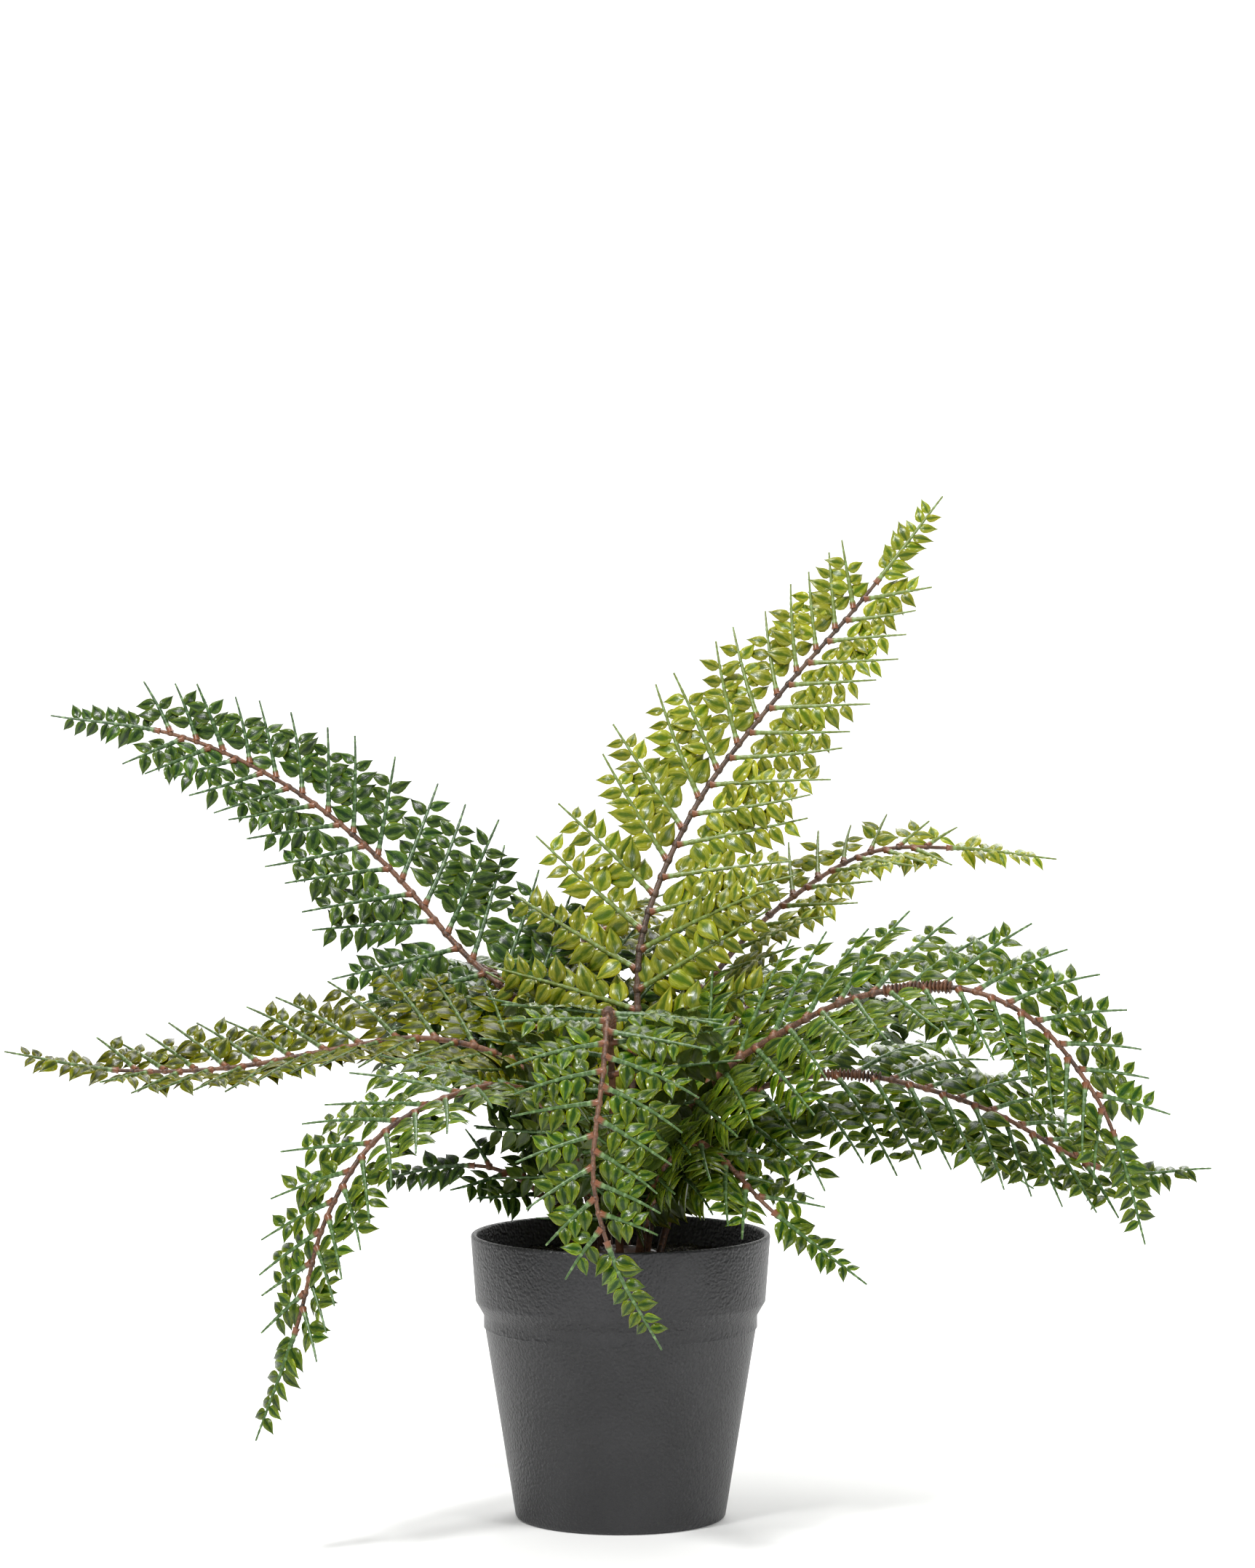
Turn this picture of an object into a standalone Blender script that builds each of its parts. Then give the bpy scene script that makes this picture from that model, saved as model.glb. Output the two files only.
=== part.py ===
"""A fern in a round plastic pot: pot, growing medium, crown and fourteen arching fronds.

Metres, +Z up, -Y is the front. The origin is the centre of the pot's flat base.
Every frond is a brown rachis with a comb of pinnae down each side and a leafy green tip.
"""

import math

import bmesh
import bpy
from mathutils import Vector
from mathutils.bvhtree import BVHTree

# ---- driving dimensions -------------------------------------------------------------------

RIM_RADIUS = 0.0650
POT_HEIGHT = 0.1240
BASE_RADIUS = 0.0458
BAND_FOOT_RADIUS = 0.0629
BODY_TOP_RADIUS = 0.0594
BAND_FOOT_Z = 0.0948
BODY_TOP_Z = 0.0889
WALL = 0.0026
FLOOR = 0.0040
EDGE = 0.0016
GAP = 0.0003

SOIL_DEPTH_BELOW_RIM = 0.0130
CROWN_RADIUS = 0.0215
CROWN_RISE = 0.0075
CROWN_DEPTH = 0.0150
STEM_SEAT_Z = 0.1085

STEM_BASE_RADIUS = 0.0021
STEM_END_RADIUS = 0.0013
SOCKET_CLEARANCE = 0.0005
POT_SEGMENTS = 64
INNER_SEGMENTS = 40

FIRST_PINNA = 0.050
TIP_LENGTH = 0.050
PINNA_SPACING = 0.0185
COMB_THICKNESS = 0.0016
COMB_DEPTH = 0.0012
PINNA_ROOT = 0.0024
PINNA_BELLY = 0.30
PINNA_WIDTH = 0.74
WIDEST_PINNA = 0.0150
PINNA_NARROWING = 0.35
LAST_PINNA_SHARE = 0.34
SWEEP = (16, 44)
PINNA_DROOP = 0.10
CLEARANCE = 0.0008
SPINE_GAP = 0.0005

# The leafy tip's outline: how far along it, and its half width there.
TIP_OUTLINE = [(0.0, 0.0016), (0.12, 0.0090), (0.45, 0.0080), (0.75, 0.0040), (1.0, 0.0006)]
TIP_HALF_THICKNESS = 0.0008
TIP_THINNING = 0.0004

# A pinna that would touch its neighbours turns by these angles, then shortens to these shares.
TURNS = [math.radians(angle) for angle in (0, 8, -8, 16, -16, 24, -24)]
SHORTER = (1.0, 0.85, 0.7, 0.55, 0.4, 0.28, 0.18)

SOIL_Z = POT_HEIGHT - SOIL_DEPTH_BELOW_RIM

LEAF_TONES = {
    "fresh": (0.27, 0.30, 0.045),
    "deep": (0.07, 0.14, 0.03),
    "olive": (0.13, 0.15, 0.03),
    "mid": (0.12, 0.19, 0.04),
}

# Each frond: the tone of its plastic, where its stem sits in the crown, points of its rachis
# from there to its tip, which way the right-hand side of its blade points at the base and at
# the tip, its longest pinna, and how far its two sides fold upwards, in degrees. Some have a
# sweep or droop of their own, and the young one starts lower with its pinnae closer together.
FRONDS = {
    "upright": {
        "tone": "fresh",
        "seat": (0.001, 0.003),
        "route": [(0.003, 0.009, 0.160), (0.007, 0.014, 0.206), (0.010, 0.025, 0.254),
                  (0.033, 0.045, 0.307), (0.067, 0.060, 0.352), (0.107, 0.075, 0.397),
                  (0.144, 0.085, 0.444)],
        "side": [(0.85, -0.30, -0.30), (0.75, -0.30, -0.50)],
        "reach": 0.088,
        "fold": 8,
    },
    "upper_left": {
        "tone": "deep",
        "seat": (-0.007, 0.009),
        "route": [(-0.012, 0.012, 0.160), (-0.022, 0.018, 0.194), (-0.042, 0.031, 0.219),
                  (-0.070, 0.045, 0.243), (-0.105, 0.060, 0.281), (-0.147, 0.070, 0.314),
                  (-0.197, 0.075, 0.337), (-0.255, 0.080, 0.346)],
        "side": [(0.60, 0.40, 0.70), (0.35, 0.30, 0.90)],
        "reach": 0.078,
        "fold": 8,
    },
    "low_left": {
        "tone": "olive",
        "seat": (-0.010, 0.001),
        "route": [(-0.014, 0.001, 0.150), (-0.030, 0.001, 0.184), (-0.054, 0.000, 0.202),
                  (-0.087, -0.001, 0.209), (-0.121, -0.005, 0.205), (-0.169, -0.010, 0.197),
                  (-0.218, -0.010, 0.196), (-0.266, -0.010, 0.204)],
        "side": [(0.00, 0.94, 0.35), (0.00, 0.90, 0.45)],
        "reach": 0.076,
        "fold": 18,
    },
    "drooping_left": {
        "tone": "mid",
        "seat": (-0.010, -0.009),
        "route": [(-0.016, -0.016, 0.150), (-0.030, -0.033, 0.181), (-0.051, -0.055, 0.194),
                  (-0.081, -0.080, 0.188), (-0.105, -0.095, 0.172), (-0.123, -0.105, 0.141),
                  (-0.134, -0.110, 0.099), (-0.151, -0.110, 0.052)],
        "side": [(-0.60, 0.75, 0.20), (-0.75, 0.62, 0.10)],
        "reach": 0.072,
        "fold": 6,
    },
    "front": {
        "tone": "mid",
        "seat": (0.000, -0.013),
        "route": [(-0.002, -0.026, 0.160), (-0.004, -0.044, 0.205), (-0.005, -0.075, 0.227),
                  (-0.007, -0.110, 0.206), (-0.011, -0.129, 0.164), (-0.002, -0.136, 0.129),
                  (0.017, -0.137, 0.094)],
        "side": [(-1.00, 0.00, 0.00), (-0.95, 0.15, 0.20)],
        "reach": 0.072,
        "fold": 4,
        "sweep": (-6, 30),
    },
    "front_right": {
        "tone": "mid",
        "seat": (0.006, -0.0165),
        "route": [(0.015, -0.032, 0.148), (0.034, -0.052, 0.169), (0.064, -0.075, 0.143),
                  (0.103, -0.088, 0.114)],
        "side": [(-0.70, -0.60, 0.20), (-0.60, -0.60, -0.50)],
        "reach": 0.072,
        "fold": 4,
        "sweep": (32, 48),
    },
    "arching_right": {
        "tone": "mid",
        "seat": (0.008, -0.009),
        "route": [(0.014, -0.016, 0.150), (0.038, -0.031, 0.192), (0.071, -0.045, 0.217),
                  (0.104, -0.060, 0.233), (0.142, -0.075, 0.237), (0.173, -0.085, 0.224),
                  (0.197, -0.090, 0.195), (0.209, -0.090, 0.168), (0.219, -0.090, 0.131)],
        "side": [(-0.10, -0.32, -0.90), (-1.00, -0.30, 0.00)],
        "reach": 0.082,
        "fold": 6,
    },
    "low_right": {
        "tone": "mid",
        "seat": (0.010, -0.002),
        "route": [(0.018, -0.004, 0.150), (0.039, -0.010, 0.178), (0.072, -0.015, 0.192),
                  (0.109, -0.020, 0.194), (0.157, -0.030, 0.181), (0.207, -0.035, 0.156),
                  (0.252, -0.040, 0.157)],
        "side": [(-0.15, -0.78, -0.60), (-0.10, -0.85, -0.55)],
        "reach": 0.088,
        "fold": 0,
        "droop": 0.28,
    },
    "upper_right": {
        "tone": "fresh",
        "seat": (0.008, 0.008),
        "route": [(0.012, 0.018, 0.160), (0.025, 0.031, 0.204), (0.046, 0.050, 0.238),
                  (0.075, 0.070, 0.264), (0.111, 0.085, 0.284), (0.150, 0.090, 0.286),
                  (0.196, 0.090, 0.281)],
        "side": [(0.20, -0.75, -0.45), (0.10, -0.80, -0.50)],
        "reach": 0.060,
        "fold": 8,
    },
    "young_left": {
        "tone": "deep",
        "seat": (-0.016, 0.004),
        "route": [(-0.030, 0.003, 0.136), (-0.054, 0.006, 0.151), (-0.082, 0.010, 0.151),
                  (-0.112, 0.012, 0.143)],
        "side": [(0.00, 0.76, 0.62), (0.00, 0.70, 0.70)],
        "reach": 0.050,
        "fold": 8,
        "first": 0.030,
        "spacing": 0.0110,
    },
    "back_left": {
        "tone": "deep",
        "seat": (-0.004, 0.016),
        "route": [(-0.012, 0.030, 0.158), (-0.032, 0.063, 0.206), (-0.060, 0.105, 0.230),
                  (-0.086, 0.145, 0.224), (-0.105, 0.178, 0.200), (-0.115, 0.200, 0.168)],
        "side": [(0.85, 0.50, 0.00), (0.85, 0.50, 0.00)],
        "reach": 0.072,
        "fold": 8,
    },
    "back": {
        "tone": "olive",
        "seat": (0.003, 0.014),
        "route": [(0.001, 0.027, 0.165), (-0.004, 0.058, 0.222), (-0.010, 0.100, 0.250),
                  (-0.016, 0.150, 0.246), (-0.020, 0.190, 0.216), (-0.022, 0.213, 0.176)],
        "side": [(1.00, 0.10, 0.00), (1.00, 0.10, 0.00)],
        "reach": 0.074,
        "fold": 8,
    },
    "back_right": {
        "tone": "deep",
        "seat": (0.010, 0.014),
        "route": [(0.018, 0.030, 0.156), (0.042, 0.065, 0.200), (0.072, 0.108, 0.222),
                  (0.102, 0.148, 0.217), (0.126, 0.180, 0.192), (0.137, 0.200, 0.160)],
        "side": [(0.80, -0.60, 0.00), (0.80, -0.60, 0.00)],
        "reach": 0.070,
        "fold": 8,
    },
    "low_back_right": {
        "tone": "mid",
        "seat": (0.015, 0.004),
        "route": [(0.028, 0.013, 0.143), (0.062, 0.030, 0.166), (0.105, 0.048, 0.170),
                  (0.148, 0.064, 0.158), (0.185, 0.074, 0.134)],
        "side": [(0.35, -0.93, 0.00), (0.35, -0.93, 0.00)],
        "reach": 0.056,
        "fold": 6,
    },
}


# ---- scene and materials ------------------------------------------------------------------

def clear_scene():
    for obj in list(bpy.data.objects):
        bpy.data.objects.remove(obj)


def make_material(name, colour, roughness):
    material = bpy.data.materials.new(name)
    material.use_nodes = True
    shader = material.node_tree.nodes["Principled BSDF"]
    shader.inputs["Base Color"].default_value = (*colour, 1.0)
    shader.inputs["Roughness"].default_value = roughness
    return material


def object_from(name, bm, material, smooth_angle=None):
    mesh = bpy.data.meshes.new(name)
    bm.to_mesh(mesh)
    bm.free()
    mesh.materials.append(material)
    if smooth_angle is not None:
        mesh.shade_smooth()
        mesh.set_sharp_from_angle(angle=smooth_angle)
    obj = bpy.data.objects.new(name, mesh)
    bpy.context.scene.collection.objects.link(obj)
    return obj


# ---- turned pieces: pot, growing medium and crown -----------------------------------------

def turned(name, profile, segments, material):
    """A solid of revolution about Z from (radius, height) points, both ends on the axis."""
    bm = bmesh.new()
    points = [bm.verts.new((radius, 0.0, height)) for radius, height in profile]
    edges = [bm.edges.new(pair) for pair in zip(points, points[1:])]
    bmesh.ops.spin(
        bm,
        geom=points + edges,
        cent=(0, 0, 0),
        axis=(0, 0, 1),
        angle=2 * math.pi,
        steps=segments,
        use_merge=True,
    )
    bmesh.ops.remove_doubles(bm, verts=bm.verts, dist=1e-6)
    bmesh.ops.recalc_face_normals(bm, faces=bm.faces)
    return object_from(name, bm, material, smooth_angle=math.radians(35))


def inner_radius(height):
    """The pot's inside radius at a height above its floor."""
    if height <= BODY_TOP_Z:
        share = height / BODY_TOP_Z
        return BASE_RADIUS + (BODY_TOP_RADIUS - BASE_RADIUS) * share - WALL
    if height <= BAND_FOOT_Z:
        share = (height - BODY_TOP_Z) / (BAND_FOOT_Z - BODY_TOP_Z)
        return BODY_TOP_RADIUS + (BAND_FOOT_RADIUS - BODY_TOP_RADIUS) * share - WALL
    share = (height - BAND_FOOT_Z) / (POT_HEIGHT - BAND_FOOT_Z)
    return BAND_FOOT_RADIUS + (RIM_RADIUS - BAND_FOOT_RADIUS) * share - WALL


def make_pot(material):
    lip = WALL / 2
    outside = [
        (0, 0),
        (BASE_RADIUS - EDGE, 0),
        (BASE_RADIUS, EDGE),
        (BODY_TOP_RADIUS, BODY_TOP_Z),
        (BAND_FOOT_RADIUS, BAND_FOOT_Z),
        (RIM_RADIUS, POT_HEIGHT - lip),
        (RIM_RADIUS - lip / 2, POT_HEIGHT - lip / 4),
        (RIM_RADIUS - lip, POT_HEIGHT),
        (RIM_RADIUS - 1.5 * lip, POT_HEIGHT - lip / 4),
    ]
    levels = [POT_HEIGHT - lip, BAND_FOOT_Z, BODY_TOP_Z, FLOOR]
    inside = [(inner_radius(z), z) for z in levels] + [(0, FLOOR)]
    return turned("pot", outside + inside, POT_SEGMENTS, material)


def make_growing_medium(material):
    levels = [FLOOR + GAP, BODY_TOP_Z, BAND_FOOT_Z, SOIL_Z - 0.0010]
    wall = [(inner_radius(z) - GAP, z) for z in levels]
    hole = CROWN_RADIUS + GAP
    surface = [
        (inner_radius(SOIL_Z) - 0.006, SOIL_Z + 0.0005),
        (0.036, SOIL_Z + 0.0010),
        (hole, SOIL_Z),
        (hole, SOIL_Z - CROWN_DEPTH),
        (0, SOIL_Z - CROWN_DEPTH),
    ]
    profile = [(0, FLOOR + GAP)] + wall + surface
    return turned("growing_medium", profile, INNER_SEGMENTS, material)


def make_crown(material):
    bottom = SOIL_Z - CROWN_DEPTH + GAP
    dome = [
        (CROWN_RADIUS * math.cos(turn), SOIL_Z + CROWN_RISE * math.sin(turn))
        for turn in [math.radians(a) for a in (0, 25, 50, 70)]
    ]
    profile = [(0, bottom), (CROWN_RADIUS, bottom)] + dome + [(0, SOIL_Z + CROWN_RISE)]
    return turned("crown", profile, INNER_SEGMENTS, material)


# ---- routes -------------------------------------------------------------------------------

class Route:
    """The line of a frond's rachis, with its side and normal at any distance along it.

    A smooth curve through the frond's points is cut into straight stretches that meet at
    the pinnae, so that the rachis and the combs beside it bend at the same places.
    """

    STEPS = 24
    REACH_OF_DIRECTION = 0.008

    def __init__(self, frond):
        seat = Vector((*frond["seat"], STEM_SEAT_Z))
        points = [seat] + [Vector(p) for p in frond["route"]]
        before = points[0] * 2 - points[1]
        after = points[-1] * 2 - points[-2]
        knots = [before] + points + [after]
        self.line = []
        for i in range(1, len(knots) - 2):
            for step in range(self.STEPS):
                self.line.append(self.spline(knots[i - 1:i + 3], step / self.STEPS))
        self.line.append(points[-1])
        self.along = [0.0]
        for a, b in zip(self.line, self.line[1:]):
            self.along.append(self.along[-1] + (b - a).length)
        self.length = self.along[-1]
        self.sides = [Vector(s) for s in frond["side"]]
        self.stem_end = self.length - TIP_LENGTH
        first = frond.get("first", FIRST_PINNA)
        self.spacing = frond.get("spacing", PINNA_SPACING)
        self.places = self.pinna_places(first)
        lower = [(first - PINNA_ROOT) * share for share in (0, 0.25, 0.5, 0.75)]
        self.stem_stations = lower + self.places + [self.stem_end]
        tip = [self.stem_end + TIP_LENGTH * share for share in (0.12, 0.45, 0.75, 1.0)]
        stations = self.stem_stations + tip
        self.line = [self.point(distance) for distance in stations]
        self.along = stations

    def pinna_places(self, first):
        """Distances of the pinnae, closer together towards the tip."""
        last = self.stem_end - 0.005
        count = round((last - first) / self.spacing)
        shares = [i / count for i in range(count + 1)]
        return [first + (last - first) * s * (1.12 - 0.12 * s) for s in shares]

    @staticmethod
    def spline(k, t):
        """A Catmull-Rom stretch between its second and third knots."""
        return 0.5 * (
            2 * k[1]
            + (k[2] - k[0]) * t
            + (2 * k[0] - 5 * k[1] + 4 * k[2] - k[3]) * t * t
            + (3 * k[1] - k[0] - 3 * k[2] + k[3]) * t ** 3
        )

    def point(self, distance):
        distance = min(max(distance, 0.0), self.length)
        i = 0
        while i < len(self.along) - 2 and self.along[i + 1] < distance:
            i += 1
        share = (distance - self.along[i]) / (self.along[i + 1] - self.along[i])
        return self.line[i].lerp(self.line[i + 1], share)

    def frame(self, distance):
        """Point, direction, right-hand side and upper normal."""
        reach = self.REACH_OF_DIRECTION
        ahead = self.point(distance + reach) - self.point(distance - reach)
        direction = ahead.normalized()
        side = self.sides[0].lerp(self.sides[1], distance / self.length)
        side = (side - direction * side.dot(direction)).normalized()
        return self.point(distance), direction, side, side.cross(direction)


def stem_radius(route, distance):
    share = distance / route.stem_end
    return STEM_BASE_RADIUS + (STEM_END_RADIUS - STEM_BASE_RADIUS) * share


# ---- frond pieces -------------------------------------------------------------------------

def make_stem(name, route, stations, extra, material):
    """A tapering tube along the route, a curve with filled caps."""
    curve = bpy.data.curves.new(name, "CURVE")
    curve.dimensions = "3D"
    curve.bevel_depth = 1.0
    curve.bevel_resolution = 1
    curve.use_fill_caps = True
    line = curve.splines.new("POLY")
    line.points.add(len(stations) - 1)
    for point, distance in zip(line.points, stations):
        point.co = (*route.point(distance), 1.0)
        point.radius = stem_radius(route, distance) + extra
    if material:
        curve.materials.append(material)
    obj = bpy.data.objects.new(name, curve)
    bpy.context.scene.collection.objects.link(obj)
    return obj


def loft(bm, rings):
    """Joins rings of vertex positions into one closed body."""
    loops = [[bm.verts.new(p) for p in ring] for ring in rings]
    for a, b in zip(loops, loops[1:]):
        for i in range(len(a)):
            j = (i + 1) % len(a)
            bm.faces.new((a[i], a[j], b[j], b[i]))
    bm.faces.new(reversed(loops[0]))
    bm.faces.new(loops[-1])
    return loops


def make_tip(name, route, material):
    """The flat leafy end of a frond, which runs out to a spine."""
    start = route.stem_end + 2 * GAP
    bm = bmesh.new()
    rings = []
    for share, half_width in TIP_OUTLINE:
        distance = start + (route.length - start) * share
        point, direction, side, normal = route.frame(distance)
        half_height = TIP_HALF_THICKNESS - TIP_THINNING * share
        rings.append([
            point - side * half_width - normal * half_height,
            point + side * half_width - normal * half_height,
            point + side * half_width + normal * half_height,
            point - side * half_width + normal * half_height,
        ])
    loft(bm, rings)
    bmesh.ops.recalc_face_normals(bm, faces=bm.faces)
    return object_from(name, bm, material)


def pinna_length(frond, share):
    """Nearly full length at the first pinna, then a steady taper."""
    start = 0.80 + 0.20 * min(share / 0.15, 1.0)
    return frond["reach"] * start * (1 - (1 - LAST_PINNA_SHARE) * share)


def pinna_rings(route, frond, hand, distance, share, length, turn):
    """The root, belly and end sections of one pinna, as four corners each."""
    point, direction, side, normal = route.frame(distance)
    fold = math.radians(frond["fold"]) + turn
    outward = side * hand * math.cos(fold) + normal * math.sin(fold)
    least, most = frond.get("sweep", SWEEP)
    sweep = math.radians(least + (most - least) * share)
    heading = (outward * math.cos(sweep) + direction * math.sin(sweep)).normalized()
    upper = heading.cross(direction).normalized()
    if upper.dot(normal) < 0:
        upper = -upper
    across = upper.cross(heading).normalized()
    if across.dot(direction) < 0:
        across = -across
    root = comb_offset(route, distance) + COMB_DEPTH
    start = point + side * hand * root
    width = min(WIDEST_PINNA, PINNA_WIDTH * route.spacing * (1 - PINNA_NARROWING * share))
    rings = []
    for reach, half in ((PINNA_BELLY, width / 2), (1.0, width / 7)):
        drop = Vector((0, 0, -frond.get("droop", PINNA_DROOP) * length * reach ** 2))
        middle = start + heading * length * reach + drop
        half_height = COMB_THICKNESS / 2 * (1 - 0.5 * reach)
        rings.append([
            middle - across * half - upper * half_height,
            middle + across * half - upper * half_height,
            middle + across * half + upper * half_height,
            middle - across * half + upper * half_height,
        ])
    return rings


def comb_offset(route, distance):
    """How far a comb's inner face stands from the middle of the rachis."""
    return stem_radius(route, distance) + SPINE_GAP


def comb_ring(route, hand, distance):
    """The four corners of a comb's spine: inner and outer, lower and upper."""
    point, _, side, normal = route.frame(distance)
    inner = comb_offset(route, distance)
    outer = inner + COMB_DEPTH
    half = COMB_THICKNESS / 2
    return [
        point + side * hand * inner - normal * half,
        point + side * hand * outer - normal * half,
        point + side * hand * outer + normal * half,
        point + side * hand * inner + normal * half,
    ]


def tree_of(rings, grow=0.0):
    """A search tree of a lofted shape, made larger by a margin."""
    bm = bmesh.new()
    loft(bm, rings)
    bmesh.ops.recalc_face_normals(bm, faces=bm.faces)
    bm.normal_update()
    if grow:
        moves = [v.normal * grow for v in bm.verts]
        for v, move in zip(bm.verts, moves):
            v.co += move
    tree = BVHTree.FromBMesh(bm)
    bm.free()
    return tree


def tree_of_object(obj):
    graph = bpy.context.evaluated_depsgraph_get()
    evaluated = obj.evaluated_get(graph)
    mesh = evaluated.to_mesh()
    bm = bmesh.new()
    bm.from_mesh(mesh)
    evaluated.to_mesh_clear()
    tree = BVHTree.FromBMesh(bm)
    bm.free()
    return tree


def fitted_pinna(route, frond, hand, distance, share, others):
    """A pinna that stays clear of its neighbours: it turns about its root, then shortens."""
    full = pinna_length(frond, share)
    for size in SHORTER:
        for turn in TURNS:
            rings = pinna_rings(route, frond, hand, distance, share, full * size, turn)
            point, _, side, _ = route.frame(distance)
            root = point + side * hand * (comb_offset(route, distance) + 2 * COMB_DEPTH)
            first = [root.lerp(corner, 0.1) for corner in rings[0]]
            tree = tree_of([first] + rings, CLEARANCE)
            if not any(tree.overlap(other) for other in others):
                return rings, tree
    return None, None


def make_comb(name, route, frond, hand, others, material):
    """One side of a frond: a thin spine beside the rachis, with the pinnae grown out of it."""
    places = route.places
    cuts = []
    for distance in places:
        cuts += [distance - PINNA_ROOT / 2, distance + PINNA_ROOT / 2]
    bm = bmesh.new()
    loops = loft(bm, [comb_ring(route, hand, cut) for cut in cuts])
    placed = []
    for i, distance in enumerate(places):
        share = i / (len(places) - 1)
        rings, tree = fitted_pinna(route, frond, hand, distance, share, others)
        if rings is None:
            continue
        placed.append(tree)
        near, far = loops[2 * i], loops[2 * i + 1]
        root = [near[1], far[1], far[2], near[2]]
        bm.faces.remove(bm.faces.get(root))
        for ring in rings:
            loop = [bm.verts.new(p) for p in ring]
            for j in range(4):
                k = (j + 1) % 4
                bm.faces.new((root[j], root[k], loop[k], loop[j]))
            root = loop
        bm.faces.new(root)
    bmesh.ops.recalc_face_normals(bm, faces=bm.faces)
    return object_from(name, bm, material), placed


# ---- assembly -----------------------------------------------------------------------------

def cut_sockets(crown, routes):
    """A blind socket in the crown for every stem, wider than it by a running gap."""
    for name, route in routes.items():
        stations = route.stem_stations[:3]
        cutter = make_stem(f"socket_{name}", route, stations, SOCKET_CLEARANCE, None)
        graph = bpy.context.evaluated_depsgraph_get()
        mesh = bpy.data.meshes.new_from_object(cutter.evaluated_get(graph))
        bpy.data.objects.remove(cutter)
        bm = bmesh.new()
        bm.from_mesh(mesh)
        bmesh.ops.remove_doubles(bm, verts=bm.verts, dist=1e-6)
        bmesh.ops.recalc_face_normals(bm, faces=bm.faces)
        bm.to_mesh(mesh)
        bm.free()
        solid = bpy.data.objects.new(f"socket_{name}", mesh)
        bpy.context.scene.collection.objects.link(solid)
        solid.hide_render = True
        solid.display_type = "WIRE"
        solid.location.z = -GAP
        cut = crown.modifiers.new(f"socket_{name}", "BOOLEAN")
        cut.operation = "DIFFERENCE"
        cut.object = solid


def main():
    clear_scene()
    plastic = make_material("pot_black", (0.045, 0.045, 0.048), 0.42)
    medium = make_material("peat", (0.016, 0.013, 0.011), 0.95)
    bark = make_material("rachis_brown", (0.19, 0.075, 0.045), 0.50)
    greens = {tone: make_material(f"leaf_{tone}", c, 0.35) for tone, c in LEAF_TONES.items()}
    fixed = [
        make_pot(plastic),
        make_growing_medium(medium),
    ]
    crown = make_crown(bark)
    routes = {name: Route(frond) for name, frond in FRONDS.items()}
    cut_sockets(crown, routes)
    trees = [tree_of_object(obj) for obj in fixed + [crown]]
    for name, route in routes.items():
        green = greens[FRONDS[name]["tone"]]
        stem = make_stem(f"{name}_frond_stem", route, route.stem_stations, 0.0, bark)
        tip = make_tip(f"{name}_frond_tip", route, green)
        trees += [tree_of_object(stem), tree_of_object(tip)]
    spines = {}
    for name, route in routes.items():
        for hand in (1, -1):
            rings = [comb_ring(route, hand, d) for d in route.places]
            spines[name, hand] = tree_of(rings, CLEARANCE)
    for name, route in routes.items():
        green = greens[FRONDS[name]["tone"]]
        for hand, word in ((-1, "left"), (1, "right")):
            own = spines[name, hand]
            others = trees + [tree for tree in spines.values() if tree is not own]
            node = f"{name}_frond_{word}_pinnae"
            _, placed = make_comb(node, route, FRONDS[name], hand, others, green)
            trees += placed


main()
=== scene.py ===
"""The finish of a potted artificial fern: moulded leaflets, ribs, rachises, pot and filling."""

import math
import random

import bmesh
import bpy
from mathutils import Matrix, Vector, noise


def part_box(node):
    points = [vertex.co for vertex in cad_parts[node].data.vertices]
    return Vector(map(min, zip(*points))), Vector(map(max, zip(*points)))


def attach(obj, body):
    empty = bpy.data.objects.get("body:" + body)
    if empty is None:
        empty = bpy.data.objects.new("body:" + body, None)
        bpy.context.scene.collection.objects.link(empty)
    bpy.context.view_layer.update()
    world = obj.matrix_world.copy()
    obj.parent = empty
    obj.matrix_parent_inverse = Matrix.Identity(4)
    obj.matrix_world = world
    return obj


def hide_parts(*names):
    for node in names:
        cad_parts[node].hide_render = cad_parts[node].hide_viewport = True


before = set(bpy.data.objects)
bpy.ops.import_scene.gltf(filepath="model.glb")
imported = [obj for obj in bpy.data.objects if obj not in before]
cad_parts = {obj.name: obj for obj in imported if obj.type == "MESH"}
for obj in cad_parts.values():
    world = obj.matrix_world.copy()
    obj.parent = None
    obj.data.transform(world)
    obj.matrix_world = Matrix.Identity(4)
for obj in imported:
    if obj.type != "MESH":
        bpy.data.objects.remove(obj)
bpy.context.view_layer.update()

MM = 0.001

# The leaf plastic's tinting is laid out in cells, four rows of them for leaflets; the row above
# them is for the ribs, which take it up once in RIB_UV_LENGTH.
ATLAS_COLUMNS = 4
ATLAS_ROWS = 5
LEAF_ROWS = 4
RIB_UV_LENGTH = 0.1
RIB_STRIP = (LEAF_ROWS / ATLAS_ROWS + 0.01, 0.18)

# ---- fronds ------------------------------------------------------------------------------
# A frond's rachis starts at its seat in the crown and passes through the points that its solid
# follows. "side" is where the right-hand side of its blade points at the base and at the tip,
# "reach" is its longest pinna, and "fold" is how far its two sides are raised, in degrees. Some
# fronds have their own sweep of the pinnae (degrees), droop, first pinna, or stretch of rings.

STEM_SEAT_Z = 0.1085
TIP_LENGTH = 0.050
FIRST_PINNA = 0.025
STEM_BASE_RADIUS = 0.00185
STEM_END_RADIUS = 0.00095

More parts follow.
